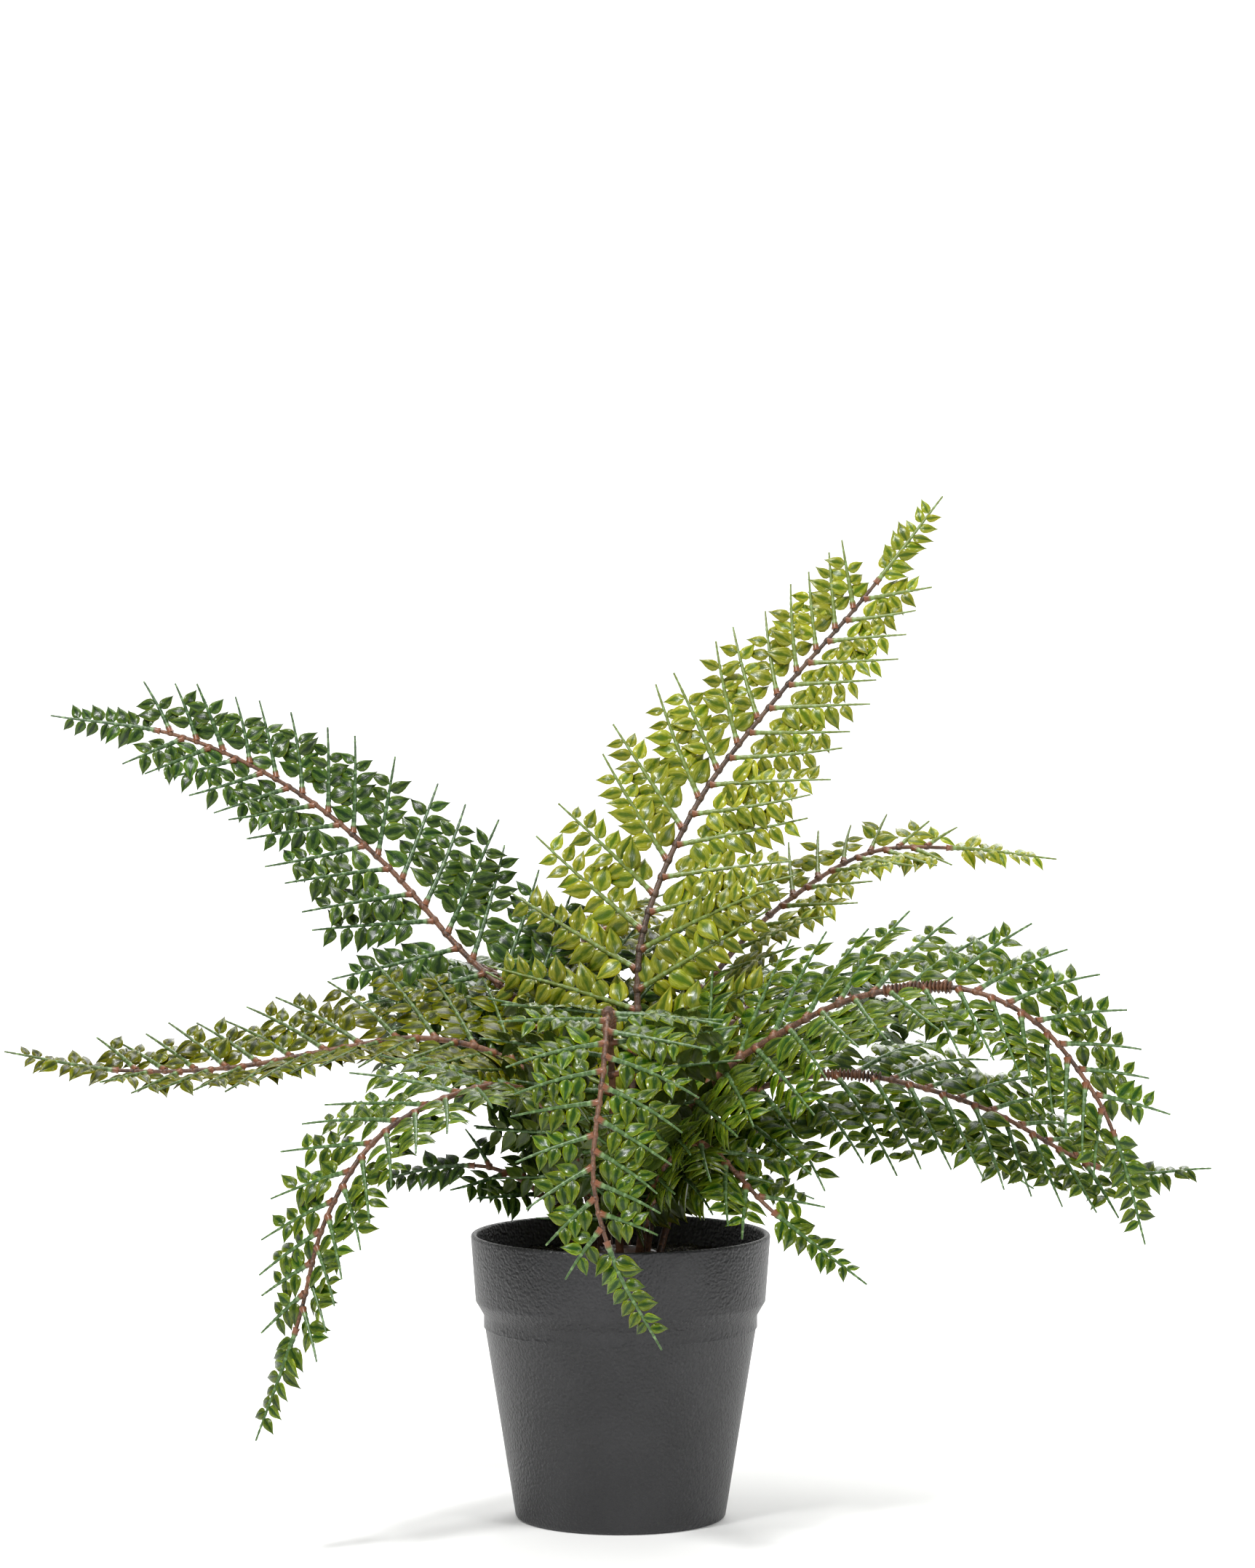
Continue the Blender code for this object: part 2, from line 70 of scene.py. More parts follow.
FRONDS = {
    "upright": {
        "tone": "fresh",
        "seat": (0.001, 0.003),
        "route": [(0.003, 0.009, 0.160), (0.007, 0.014, 0.206), (0.010, 0.025, 0.254),
                  (0.033, 0.045, 0.307), (0.067, 0.060, 0.352), (0.107, 0.075, 0.397),
                  (0.144, 0.085, 0.444)],
        "side": [(0.85, -0.30, -0.30), (0.75, -0.30, -0.50)],
        "reach": 0.088,
        "fold": 8,
    },
    "upper_left": {
        "tone": "deep",
        "seat": (-0.007, 0.009),
        "route": [(-0.012, 0.012, 0.160), (-0.022, 0.018, 0.194), (-0.042, 0.031, 0.219),
                  (-0.070, 0.045, 0.243), (-0.105, 0.060, 0.281), (-0.147, 0.070, 0.314),
                  (-0.197, 0.075, 0.337), (-0.255, 0.080, 0.346)],
        "side": [(0.60, 0.40, 0.70), (0.35, 0.30, 0.90)],
        "reach": 0.078,
        "fold": 8,
    },
    "low_left": {
        "tone": "olive",
        "seat": (-0.010, 0.001),
        "route": [(-0.014, 0.001, 0.150), (-0.030, 0.001, 0.184), (-0.054, 0.000, 0.202),
                  (-0.087, -0.001, 0.209), (-0.121, -0.005, 0.205), (-0.169, -0.010, 0.197),
                  (-0.218, -0.010, 0.196), (-0.266, -0.010, 0.204)],
        "side": [(0.00, 0.94, 0.35), (0.00, 0.90, 0.45)],
        "reach": 0.076,
        "fold": 18,
    },
    "drooping_left": {
        "tone": "mid",
        "seat": (-0.010, -0.009),
        "route": [(-0.016, -0.016, 0.150), (-0.030, -0.033, 0.181), (-0.051, -0.055, 0.194),
                  (-0.081, -0.080, 0.188), (-0.105, -0.095, 0.172), (-0.123, -0.105, 0.141),
                  (-0.134, -0.110, 0.099), (-0.151, -0.110, 0.052)],
        "side": [(-0.60, 0.75, 0.20), (-0.75, 0.62, 0.10)],
        "reach": 0.072,
        "fold": 6,
    },
    "front": {
        "tone": "mid",
        "seat": (0.000, -0.013),
        "route": [(-0.002, -0.026, 0.160), (-0.004, -0.044, 0.205), (-0.005, -0.075, 0.227),
                  (-0.007, -0.110, 0.206), (-0.011, -0.129, 0.164), (-0.002, -0.136, 0.129),
                  (0.017, -0.137, 0.094)],
        "side": [(-1.00, 0.00, 0.00), (-0.95, 0.15, 0.20)],
        "reach": 0.072,
        "fold": 4,
        "sweep": (-6, 30),
        "rings": (0.118, 0.148),
    },
    "front_right": {
        "tone": "mid",
        "seat": (0.006, -0.0165),
        "route": [(0.015, -0.032, 0.148), (0.034, -0.052, 0.169), (0.064, -0.075, 0.143),
                  (0.103, -0.088, 0.114)],
        "side": [(-0.70, -0.60, 0.20), (-0.60, -0.60, -0.50)],
        "reach": 0.072,
        "sweep": (32, 48),
        "fold": 4,
    },
    "arching_right": {
        "tone": "mid",
        "seat": (0.008, -0.009),
        "route": [(0.014, -0.016, 0.150), (0.038, -0.031, 0.192), (0.071, -0.045, 0.217),
                  (0.104, -0.060, 0.233), (0.142, -0.075, 0.237), (0.173, -0.085, 0.224),
                  (0.197, -0.090, 0.195), (0.209, -0.090, 0.168), (0.219, -0.090, 0.131)],
        "side": [(-0.10, -0.32, -0.90), (-1.00, -0.30, 0.00)],
        "reach": 0.082,
        "fold": 6,
        "droop": 0.15,
        "rings": (0.185, 0.215),
    },
    "low_right": {
        "tone": "mid",
        "seat": (0.010, -0.002),
        "route": [(0.018, -0.004, 0.150), (0.039, -0.010, 0.178), (0.072, -0.015, 0.192),
                  (0.109, -0.020, 0.194), (0.157, -0.030, 0.181), (0.207, -0.035, 0.156),
                  (0.252, -0.040, 0.157)],
        "side": [(-0.15, -0.78, -0.60), (-0.10, -0.85, -0.55)],
        "reach": 0.088,
        "fold": 0,
        "droop": 0.50,
        "rings": (0.130, 0.155),
    },
    "upper_right": {
        "tone": "fresh",
        "seat": (0.008, 0.008),
        "route": [(0.012, 0.018, 0.160), (0.025, 0.031, 0.204), (0.046, 0.050, 0.238),
                  (0.075, 0.070, 0.264), (0.111, 0.085, 0.284), (0.150, 0.090, 0.286),
                  (0.196, 0.090, 0.281)],
        "side": [(0.20, -0.75, -0.45), (0.10, -0.80, -0.50)],
        "reach": 0.060,
        "fold": 8,
    },
    "young_left": {
        "tone": "deep",
        "seat": (-0.016, 0.004),
        "route": [(-0.030, 0.003, 0.136), (-0.054, 0.006, 0.151), (-0.082, 0.010, 0.151),
                  (-0.112, 0.012, 0.143)],
        "side": [(0.00, 0.76, 0.62), (0.00, 0.70, 0.70)],
        "reach": 0.050,
        "fold": 8,
        "first": 0.028,
    },
    "back_left": {
        "tone": "deep",
        "seat": (-0.004, 0.016),
        "route": [(-0.012, 0.030, 0.158), (-0.032, 0.063, 0.206), (-0.060, 0.105, 0.230),
                  (-0.086, 0.145, 0.224), (-0.105, 0.178, 0.200), (-0.115, 0.200, 0.168)],
        "side": [(0.85, 0.50, 0.00), (0.85, 0.50, 0.00)],
        "reach": 0.072,
        "fold": 8,
    },
    "back": {
        "tone": "olive",
        "seat": (0.003, 0.014),
        "route": [(0.001, 0.027, 0.165), (-0.004, 0.058, 0.222), (-0.010, 0.100, 0.250),
                  (-0.016, 0.150, 0.246), (-0.020, 0.190, 0.216), (-0.022, 0.213, 0.176)],
        "side": [(1.00, 0.10, 0.00), (1.00, 0.10, 0.00)],
        "reach": 0.074,
        "fold": 8,
    },
    "back_right": {
        "tone": "deep",
        "seat": (0.010, 0.014),
        "route": [(0.018, 0.030, 0.156), (0.042, 0.065, 0.200), (0.072, 0.108, 0.222),
                  (0.102, 0.148, 0.217), (0.126, 0.180, 0.192), (0.137, 0.200, 0.160)],
        "side": [(0.80, -0.60, 0.00), (0.80, -0.60, 0.00)],
        "reach": 0.070,
        "fold": 8,
    },
    "low_back_right": {
        "tone": "mid",
        "seat": (0.015, 0.004),
        "route": [(0.028, 0.013, 0.143), (0.062, 0.030, 0.166), (0.105, 0.048, 0.170),
                  (0.148, 0.064, 0.158), (0.185, 0.074, 0.134)],
        "side": [(0.35, -0.93, 0.00), (0.35, -0.93, 0.00)],
        "reach": 0.056,
        "fold": 6,
    },
}

# Leaf plastic by tone, sRGB: the body of the leaflet, its lighter parts, the painted shade along
# the midrib crease, the rim with its painted glow of backlight, the underside and the rib that
# the leaflets grow from.
TONES = {
    "fresh": ("7e8532", "a0a352", "445c1c", "a9a220", "666a22", "687630"),
    "deep": ("395021", "5c7038", "12290f", "7a841c", "3c4b27", "2e4a20"),
    # The olive tone is an olive plastic, darkened beyond its own colour as painted shade.
    "olive": ("4e5410", "72751f", "222c08", "9a8a10", "4a4b14", "40521c"),
    "mid": ("48591c", "6f833a", "17360d", "949a1e", "434f26", "3d5a28"),
}


# ---- nodes -------------------------------------------------------------------------------

def srgb(code):
    """A colour's hex code as linear light."""
    parts = [int(code[i:i + 2], 16) / 255 for i in (0, 2, 4)]
    linear = [p / 12.92 if p <= 0.04045 else ((p + 0.055) / 1.055) ** 2.4 for p in parts]
    return (*linear, 1.0)


def add(tree, kind, inputs=None, out=None, **settings):
    """Adds a node with its settings; inputs are values or the sockets that feed it.

    It returns the node, or only the output that out names.
    """
    made = tree.nodes.new(kind)
    for key, value in settings.items():
        setattr(made, key, value)
    for key, value in (inputs or {}).items():
        if isinstance(value, bpy.types.NodeSocket):
            tree.links.new(value, made.inputs[key])
        else:
            made.inputs[key].default_value = value
    return made if out is None else made.outputs[out]


def new_material(name):
    material = bpy.data.materials.new(name)
    material.use_nodes = True
    return material, material.node_tree, material.node_tree.nodes["Principled BSDF"]


def new_geometry_tree(name, sockets):
    """A geometry node tree with named inputs; returns it with its input and output nodes."""
    tree = bpy.data.node_groups.new(name, "GeometryNodeTree")
    tree.interface.new_socket("Geometry", in_out="INPUT", socket_type="NodeSocketGeometry")
    for label, kind in sockets.items():
        tree.interface.new_socket(label, in_out="INPUT", socket_type=f"NodeSocket{kind}")
    tree.interface.new_socket("Geometry", in_out="OUTPUT", socket_type="NodeSocketGeometry")
    return tree, tree.nodes.new("NodeGroupInput").outputs, tree.nodes.new("NodeGroupOutput")


def grown(name, base, tree, values):
    """Runs a tree on an object once and returns the result as a plain mesh object."""
    modifier = base.modifiers.new(tree.name, "NODES")
    modifier.node_group = tree
    for item in tree.interface.items_tree:
        if item.in_out == "INPUT" and item.name in values:
            modifier[item.identifier] = values[item.name]
    graph = bpy.context.evaluated_depsgraph_get()
    mesh = bpy.data.meshes.new_from_object(base.evaluated_get(graph), depsgraph=graph)
    bpy.data.objects.remove(base)
    return placed(name, mesh)


def placed(name, mesh):
    mesh.name = name
    piece = bpy.data.objects.new(name, mesh)
    bpy.context.scene.collection.objects.link(piece)
    return piece


def finished(piece, slot, *nodes):
    """Ties a piece to the frame."""
    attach(piece, "root")
    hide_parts(*nodes)
    return piece


# ---- materials ---------------------------------------------------------------------------
# The scale of a pattern in space is the number of its cells in a millimetre, over MM.

def leaf_plastic(tone):
    """Polyethylene leaf, moulded and hand-tinted: satin gloss, a yellow rim of painted backlight
    glow, a middle darkened by painted shade in the midrib crease.
    """
    body, light, crease_shade, rim, under, _ = (srgb(code) for code in TONES[tone])
    material, tree, shader = new_material(f"moulded_leaf_{tone}")
    uv = add(tree, "ShaderNodeUVMap", uv_map="OFBake", out=0)
    scaled = add(tree, "ShaderNodeVectorMath", {0: uv, 1: (ATLAS_COLUMNS, ATLAS_ROWS, 1)},
                 operation="MULTIPLY", out=0)
    cell = add(tree, "ShaderNodeVectorMath", {0: scaled}, operation="FLOOR", out=0)
    local = add(tree, "ShaderNodeVectorMath", {0: scaled}, operation="FRACTION", out=0)
    local = add(tree, "ShaderNodeSeparateXYZ", {0: local}).outputs
    is_under = add(tree, "ShaderNodeMath", {0: local[0], 1: 0.5}, operation="GREATER_THAN")
    across = add(tree, "ShaderNodeMath", {0: local[0], 1: 0.5}, operation="MODULO", out=0)
    off_rib = add(tree, "ShaderNodeMapRange", {0: across, 1: 0.0, 2: 0.5, 3: -1.0, 4: 1.0})
    off_rib = add(tree, "ShaderNodeMath", {0: off_rib.outputs[0]}, operation="ABSOLUTE", out=0)
    luck = add(tree, "ShaderNodeTexWhiteNoise", {0: cell}, noise_dimensions="3D").outputs
    spot = add(tree, "ShaderNodeCombineXYZ", {0: across, 1: local[1], 2: luck[0]}, out=0)
    stretched = add(tree, "ShaderNodeVectorMath", {0: spot, 1: (7.0, 3.4, 40.0)},
                    operation="MULTIPLY", out=0)
    clouds = add(tree, "ShaderNodeTexNoise", {"Vector": stretched, "Scale": 1.0, "Detail": 3.0})
    clouds = clouds.outputs[0]
    streaky = add(tree, "ShaderNodeVectorMath", {0: spot, 1: (46.0, 5.0, 40.0)},
                  operation="MULTIPLY", out=0)
    streaks = add(tree, "ShaderNodeTexNoise", {"Vector": streaky, "Scale": 1.0, "Detail": 2.0})
    streaks = streaks.outputs[0]
    pale = add(tree, "ShaderNodeMapRange", {0: streaks, 1: 0.42, 2: 0.68}, out=0)
    colour = add(tree, "ShaderNodeMix", {0: pale, 6: body, 7: light}, data_type="RGBA", out=2)
    # Darker in clouds along the midrib: painted shade in the midrib crease.
    near_rib = add(tree, "ShaderNodeMapRange", {0: off_rib, 1: 0.62, 2: 0.0}, out=0)
    crease_shade_mask = add(tree, "ShaderNodeMath", {0: clouds, 1: near_rib}, operation="MULTIPLY")
    crease_shade_mask = add(tree, "ShaderNodeMapRange", {0: crease_shade_mask.outputs[0], 1: 0.18, 2: 0.44, 4: 0.92})
    colour = add(tree, "ShaderNodeMix", {0: crease_shade_mask.outputs[0], 6: colour, 7: crease_shade},
                 data_type="RGBA", out=2)
    # Towards the edge the colour goes to the rim's yellow: a painted glow of backlight through the
    # thin rim.
    rim_glow_mask = add(tree, "ShaderNodeMapRange", {0: off_rib, 1: 0.78, 2: 1.0}, out=0)
    colour = add(tree, "ShaderNodeMix", {0: rim_glow_mask, 6: colour, 7: rim}, data_type="RGBA", out=2)
    dull = add(tree, "ShaderNodeMath", {0: is_under.outputs[0], 1: 0.7}, operation="MULTIPLY")
    colour = add(tree, "ShaderNodeMix", {0: dull.outputs[0], 6: colour, 7: under},
                 data_type="RGBA", out=2)
    lightness = add(tree, "ShaderNodeMapRange", {0: luck[0], 3: 0.62, 4: 1.22}, out=0)
    hue = add(tree, "ShaderNodeSeparateXYZ", {0: luck[1]}, out=1)
    hue = add(tree, "ShaderNodeMapRange", {0: hue, 3: 0.488, 4: 0.510}, out=0)
    tinted = add(tree, "ShaderNodeHueSaturation",
                 {"Hue": hue, "Saturation": 1.12, "Value": lightness, "Color": colour})
    tree.links.new(tinted.outputs[0], shader.inputs["Base Color"])
    rough = add(tree, "ShaderNodeMapRange", {0: clouds, 1: 0.3, 2: 0.7, 3: 0.16, 4: 0.30})
    tree.links.new(rough.outputs[0], shader.inputs["Roughness"])
    shader.inputs["IOR"].default_value = 1.5
    shader.inputs["Specular IOR Level"].default_value = 0.32
    bump = add(tree, "ShaderNodeBump", {"Height": streaks, "Strength": 0.25, "Distance": 0.3 * MM})
    tree.links.new(bump.outputs[0], shader.inputs["Normal"])
    return material


def rib_plastic(tone):
    """Green rib of a pinna: brown where it leaves the rachis, with pale patches of painted sheen
    along it.
    """
    material, tree, shader = new_material(f"moulded_rib_{tone}")
    green = srgb(TONES[tone][5])
    uv = add(tree, "ShaderNodeUVMap", uv_map="OFBake", out=0)
    along = add(tree, "ShaderNodeSeparateXYZ", {0: uv}).outputs
    spot = add(tree, "ShaderNodeCombineXYZ", {0: along[0]}, out=0)
    # The pale patches along the rib are a painted sheen, not a colour of the plastic.
    sheen_noise = add(tree, "ShaderNodeTexNoise", {"Vector": spot, "Scale": 42.0, "Detail": 3.0})
    lightened = add(tree, "ShaderNodeMapRange", {0: sheen_noise.outputs[0], 1: 0.48, 2: 0.66, 4: 0.6})
    colour = add(tree, "ShaderNodeMix", {0: lightened.outputs[0], 6: green, 7: srgb("8fae74")},
                 data_type="RGBA", out=2)
    near = add(tree, "ShaderNodeMapRange", {0: along[0], 1: 0.032, 2: 0.018}, out=0)
    colour = add(tree, "ShaderNodeMix", {0: near, 6: colour, 7: srgb("7a4c32")},
                 data_type="RGBA", out=2)
    tree.links.new(colour, shader.inputs["Base Color"])
    shader.inputs["Roughness"].default_value = 0.34
    shader.inputs["IOR"].default_value = 1.5
    return material


def rachis_plastic(name, body, dark, light):
    """Polyethylene stem moulded over wire, with a bark-like grain and rubbed high spots."""
    material, tree, shader = new_material(name)
    place = add(tree, "ShaderNodeTexCoord", out="Object")
    grain = add(tree, "ShaderNodeTexNoise", {"Vector": place, "Scale": 0.9 / MM, "Detail": 4.0})
    patches = add(tree, "ShaderNodeTexNoise", {"Vector": place, "Scale": 0.12 / MM, "Detail": 3.0})
    shade = add(tree, "ShaderNodeMapRange", {0: patches.outputs[0], 1: 0.35, 2: 0.62})
    colour = add(tree, "ShaderNodeMix", {0: shade.outputs[0], 6: srgb(dark), 7: srgb(body)},
                 data_type="RGBA", out=2)
    lightened = add(tree, "ShaderNodeMapRange", {0: grain.outputs[0], 1: 0.52, 2: 0.72, 4: 0.7})
    colour = add(tree, "ShaderNodeMix", {0: lightened.outputs[0], 6: colour, 7: srgb(light)},
                 data_type="RGBA", out=2)
    tree.links.new(colour, shader.inputs["Base Color"])
    shader.inputs["Roughness"].default_value = 0.46
    bump = add(tree, "ShaderNodeBump",
               {"Height": grain.outputs[0], "Strength": 0.6, "Distance": 0.4 * MM})
    tree.links.new(bump.outputs[0], shader.inputs["Normal"])
    return material


def pot_plastic():
    """Polypropylene pot, injection moulded in a spark-eroded mould: a fine, even pebble."""
    material, tree, shader = new_material("pebbled_polypropylene")
    place = add(tree, "ShaderNodeTexCoord", out="Object")
    pebble = add(tree, "ShaderNodeTexVoronoi", {"Vector": place, "Scale": 0.82 / MM},
                 feature="SMOOTH_F1")
    swirl = add(tree, "ShaderNodeTexNoise",
                {"Vector": place, "Scale": 0.62 / MM, "Detail": 3.0, "Distortion": 0.6})
    height = add(tree, "ShaderNodeMath", {0: pebble.outputs[0], 1: swirl.outputs[0]})
    dust = add(tree, "ShaderNodeTexNoise", {"Vector": place, "Scale": 0.038 / MM, "Detail": 5.0})
    faint = add(tree, "ShaderNodeMapRange", {0: dust.outputs[0], 1: 0.35, 2: 0.7})
    colour = add(tree, "ShaderNodeMix",
                 {0: faint.outputs[0], 6: srgb("1c1c1e"), 7: srgb("252527")}, data_type="RGBA")
    tree.links.new(colour.outputs[2], shader.inputs["Base Color"])
    rough = add(tree, "ShaderNodeMapRange", {0: swirl.outputs[0], 3: 0.34, 4: 0.50})
    tree.links.new(rough.outputs[0], shader.inputs["Roughness"])
    bump = add(tree, "ShaderNodeBump",
               {"Height": height.outputs[0], "Strength": 0.9, "Distance": 0.45 * MM})
    tree.links.new(bump.outputs[0], shader.inputs["Normal"])
    return material


def peat():
    """Dry dark filling: matt crumbs from near black to dark brown, a few greenish."""
    material, tree, shader = new_material("dry_peat")
    place = add(tree, "ShaderNodeTexCoord", out="Object")
    crumbs = add(tree, "ShaderNodeTexVoronoi", {"Vector": place, "Scale": 0.42 / MM})
    luck = add(tree, "ShaderNodeTexWhiteNoise", {0: crumbs.outputs["Color"]}, out=0)
    ramp = add(tree, "ShaderNodeValToRGB", {0: luck})
    stops = ramp.color_ramp.elements
    stops[0].color = srgb("12100e")
    stops[1].color = srgb("4e4c3a")
    stops.new(0.6).color = srgb("262019")
    tree.links.new(ramp.outputs[0], shader.inputs["Base Color"])
    shader.inputs["Roughness"].default_value = 0.9
    shader.inputs["Specular IOR Level"].default_value = 0.3
    fine = add(tree, "ShaderNodeTexNoise", {"Vector": place, "Scale": 1.6 / MM, "Detail": 4.0})
    bump = add(tree, "ShaderNodeBump",
               {"Height": fine.outputs[0], "Strength": 0.8, "Distance": 0.5 * MM})
    tree.links.new(bump.outputs[0], shader.inputs["Normal"])
    return material


# ---- leaflet and collar ------------------------------------------------------------------

# Stations along a leaflet from its stalk to its sharp tip: distance, half width and how far
# the blade has bent down, all for a leaflet one unit long and one unit wide.
LEAFLET_STATIONS = [
    (-0.02, 0.05, 0.00), (0.08, 0.06, 0.00), (0.15, 0.31, 0.01), (0.30, 0.48, 0.02),
    (0.49, 0.46, 0.04), (0.67, 0.34, 0.08), (0.82, 0.18, 0.14), (0.94, 0.07, 0.20),
]
LEAFLET_TIP = (1.06, 0.27)
LEAFLET_COLUMNS = (-1.0, -0.52, 0.0, 0.52, 1.0)
FULL_HALF_WIDTH = 0.49
BLADE_CROWN = 0.20
MIDRIB_DIP = 0.03
LEAFLET_WALL = 0.075
UNDER_RIB = 0.05
CELL_MARGIN = 0.02


def leaflet_mesh():
    """A teardrop blade: two convex halves that meet at the midrib, and a sharp tip."""
    bm = bmesh.new()
    uv = bm.loops.layers.uv.new("OFBake")
    tops, unders = [], []
    for y, half, bend in LEAFLET_STATIONS:
        top, under = [], []
        fullness = half / FULL_HALF_WIDTH
        for column in LEAFLET_COLUMNS:
            rise = {1.0: 0.0, 0.52: BLADE_CROWN, 0.0: MIDRIB_DIP}[abs(column)] * fullness
            point = Vector((column * half, y, rise - bend))
            top.append(bm.verts.new(point))
            if abs(column) == 1.0:
                under.append(top[-1])
            else:
                depth = LEAFLET_WALL + (UNDER_RIB if column == 0.0 else 0.0)
                under.append(bm.verts.new(point - Vector((0, 0, depth * (0.5 + fullness / 2)))))
        tops.append(top)
        unders.append(under)
    tip = bm.verts.new((0, LEAFLET_TIP[0], -LEAFLET_TIP[1]))
    last = len(LEAFLET_COLUMNS) - 1
    low, high = LEAFLET_STATIONS[0][0], LEAFLET_TIP[0]

    def face(verts, half_of_cell):
        made = bm.faces.new(verts)
        made.smooth = True
        for loop in made.loops:
            row = next((r for r in tops + unders if loop.vert in r), None)
            spread = row.index(loop.vert) / last if row else 0.5
            along = (loop.vert.co.y - low) / (high - low)
            loop[uv].uv = (half_of_cell + CELL_MARGIN + (0.5 - 2 * CELL_MARGIN) * spread,
                           CELL_MARGIN + (1 - 2 * CELL_MARGIN) * along)

    for rows, half_of_cell, flip in ((tops, 0.0, False), (unders, 0.5, True)):
        for a, b in zip(rows, rows[1:]):
            for i in range(last):
                quad = [a[i], a[i + 1], b[i + 1], b[i]]
                face(quad[::-1] if flip else quad, half_of_cell)
        for i in range(last):
            end = [rows[-1][i], rows[-1][i + 1], tip]
            face(end[::-1] if flip else end, half_of_cell)
    face(unders[0] + tops[0][-2:0:-1], 0.5)
    for rows in (tops, unders):
        for a, b in zip(rows, rows[1:]):
            for i in (0, last):
                bm.edges.get((a[i], b[i])).smooth = False
    bmesh.ops.recalc_face_normals(bm, faces=bm.faces)
    mesh = bpy.data.meshes.new("leaflet")
    bm.to_mesh(mesh)
    bm.free()
    return mesh


def collar_mesh():
    """A short barrel that thickens the rachis where a pinna leaves it; one unit in radius."""
    bm = bmesh.new()
    outline = [(0.55, -1.5), (1.0, -1.25), (1.22, -0.5), (1.30, 0.0), (1.22, 0.5), (1.0, 1.25),
               (0.55, 1.5)]
    points = [bm.verts.new((0, 0, outline[0][1]))]
    points += [bm.verts.new((radius, 0, z)) for radius, z in outline]
    points.append(bm.verts.new((0, 0, outline[-1][1])))
    edges = [bm.edges.new(pair) for pair in zip(points, points[1:])]
    bmesh.ops.spin(bm, geom=points + edges, cent=(0, 0, 0), axis=(0, 0, 1),
                   angle=2 * math.pi, steps=10, use_merge=True)
    bmesh.ops.remove_doubles(bm, verts=bm.verts, dist=1e-4)
    bmesh.ops.recalc_face_normals(bm, faces=bm.faces)
    for made in bm.faces:
        made.smooth = True
    mesh = bpy.data.meshes.new("collar")
    bm.to_mesh(mesh)
    bm.free()
    return mesh


# ---- routes and guides -------------------------------------------------------------------

class Route:
    """The line of a frond's rachis, with its side and normal at any distance along it."""

    STEPS = 24
    REACH_OF_DIRECTION = 0.006

    def __init__(self, frond):
        seat = Vector((*frond["seat"], STEM_SEAT_Z))
        points = [seat] + [Vector(p) for p in frond["route"]]
        knots = [points[0] * 2 - points[1]] + points + [points[-1] * 2 - points[-2]]
        self.line = []
        for i in range(1, len(knots) - 2):
            for step in range(self.STEPS):
                self.line.append(self.spline(knots[i - 1:i + 3], step / self.STEPS))
        self.line.append(points[-1])
        self.along = [0.0]
        for a, b in zip(self.line, self.line[1:]):
            self.along.append(self.along[-1] + (b - a).length)
        self.length = self.along[-1]
        self.stem_end = self.length - TIP_LENGTH
        self.first = frond.get("first", FIRST_PINNA)
        self.sides = [Vector(s) for s in frond["side"]]

    @staticmethod
    def spline(k, t):
        return 0.5 * (
            2 * k[1]
            + (k[2] - k[0]) * t
            + (2 * k[0] - 5 * k[1] + 4 * k[2] - k[3]) * t * t
            + (3 * k[1] - k[0] - 3 * k[2] + k[3]) * t ** 3
        )

    def point(self, distance):
        distance = min(max(distance, 0.0), self.length)
        i = 0
        while i < len(self.along) - 2 and self.along[i + 1] < distance:
            i += 1
        share = (distance - self.along[i]) / (self.along[i + 1] - self.along[i])
        return self.line[i].lerp(self.line[i + 1], share)

    def frame(self, distance):
        """Point, direction, right-hand side and upper normal."""
        reach = self.REACH_OF_DIRECTION
        ahead = self.point(distance + reach) - self.point(distance - reach)
        direction = ahead.normalized()
        side = self.sides[0].lerp(self.sides[1], distance / self.length)
        side = (side - direction * side.dot(direction)).normalized()
        return self.point(distance), direction, side, side.cross(direction)


def rachis_radius(route, distance):
    share = min(distance / route.stem_end, 1.0)
    return STEM_BASE_RADIUS + (STEM_END_RADIUS - STEM_BASE_RADIUS) * share


PINNA_SPACING_FIRST = 0.0205
PINNA_SPACING_LAST = 0.0120
LAST_PINNA_TO_STEM_END = 0.004
SWEEP = (16, 44)
FIRST_PINNA_SHARE = 0.50
FULL_LENGTH_AT = 0.16
LAST_PINNA_SHARE = 0.34
PINNA_POINTS = 14
CURL = (0.02, 0.26)
DROOP = (0.08, 0.26)
DROOP_LENGTH = 0.08


def pinna_stations(route):
    """(hand, distance) of every pinna: the two sides alternate, closer towards the tip."""
    stations = []
    distance, hand = route.first, 1
    while distance < route.stem_end - LAST_PINNA_TO_STEM_END:
        stations.append((hand, distance))
        share = (distance - route.first) / (route.stem_end - route.first)
        spacing = PINNA_SPACING_FIRST + (PINNA_SPACING_LAST - PINNA_SPACING_FIRST) * share
        distance += spacing / 2
        hand = -hand
    return stations


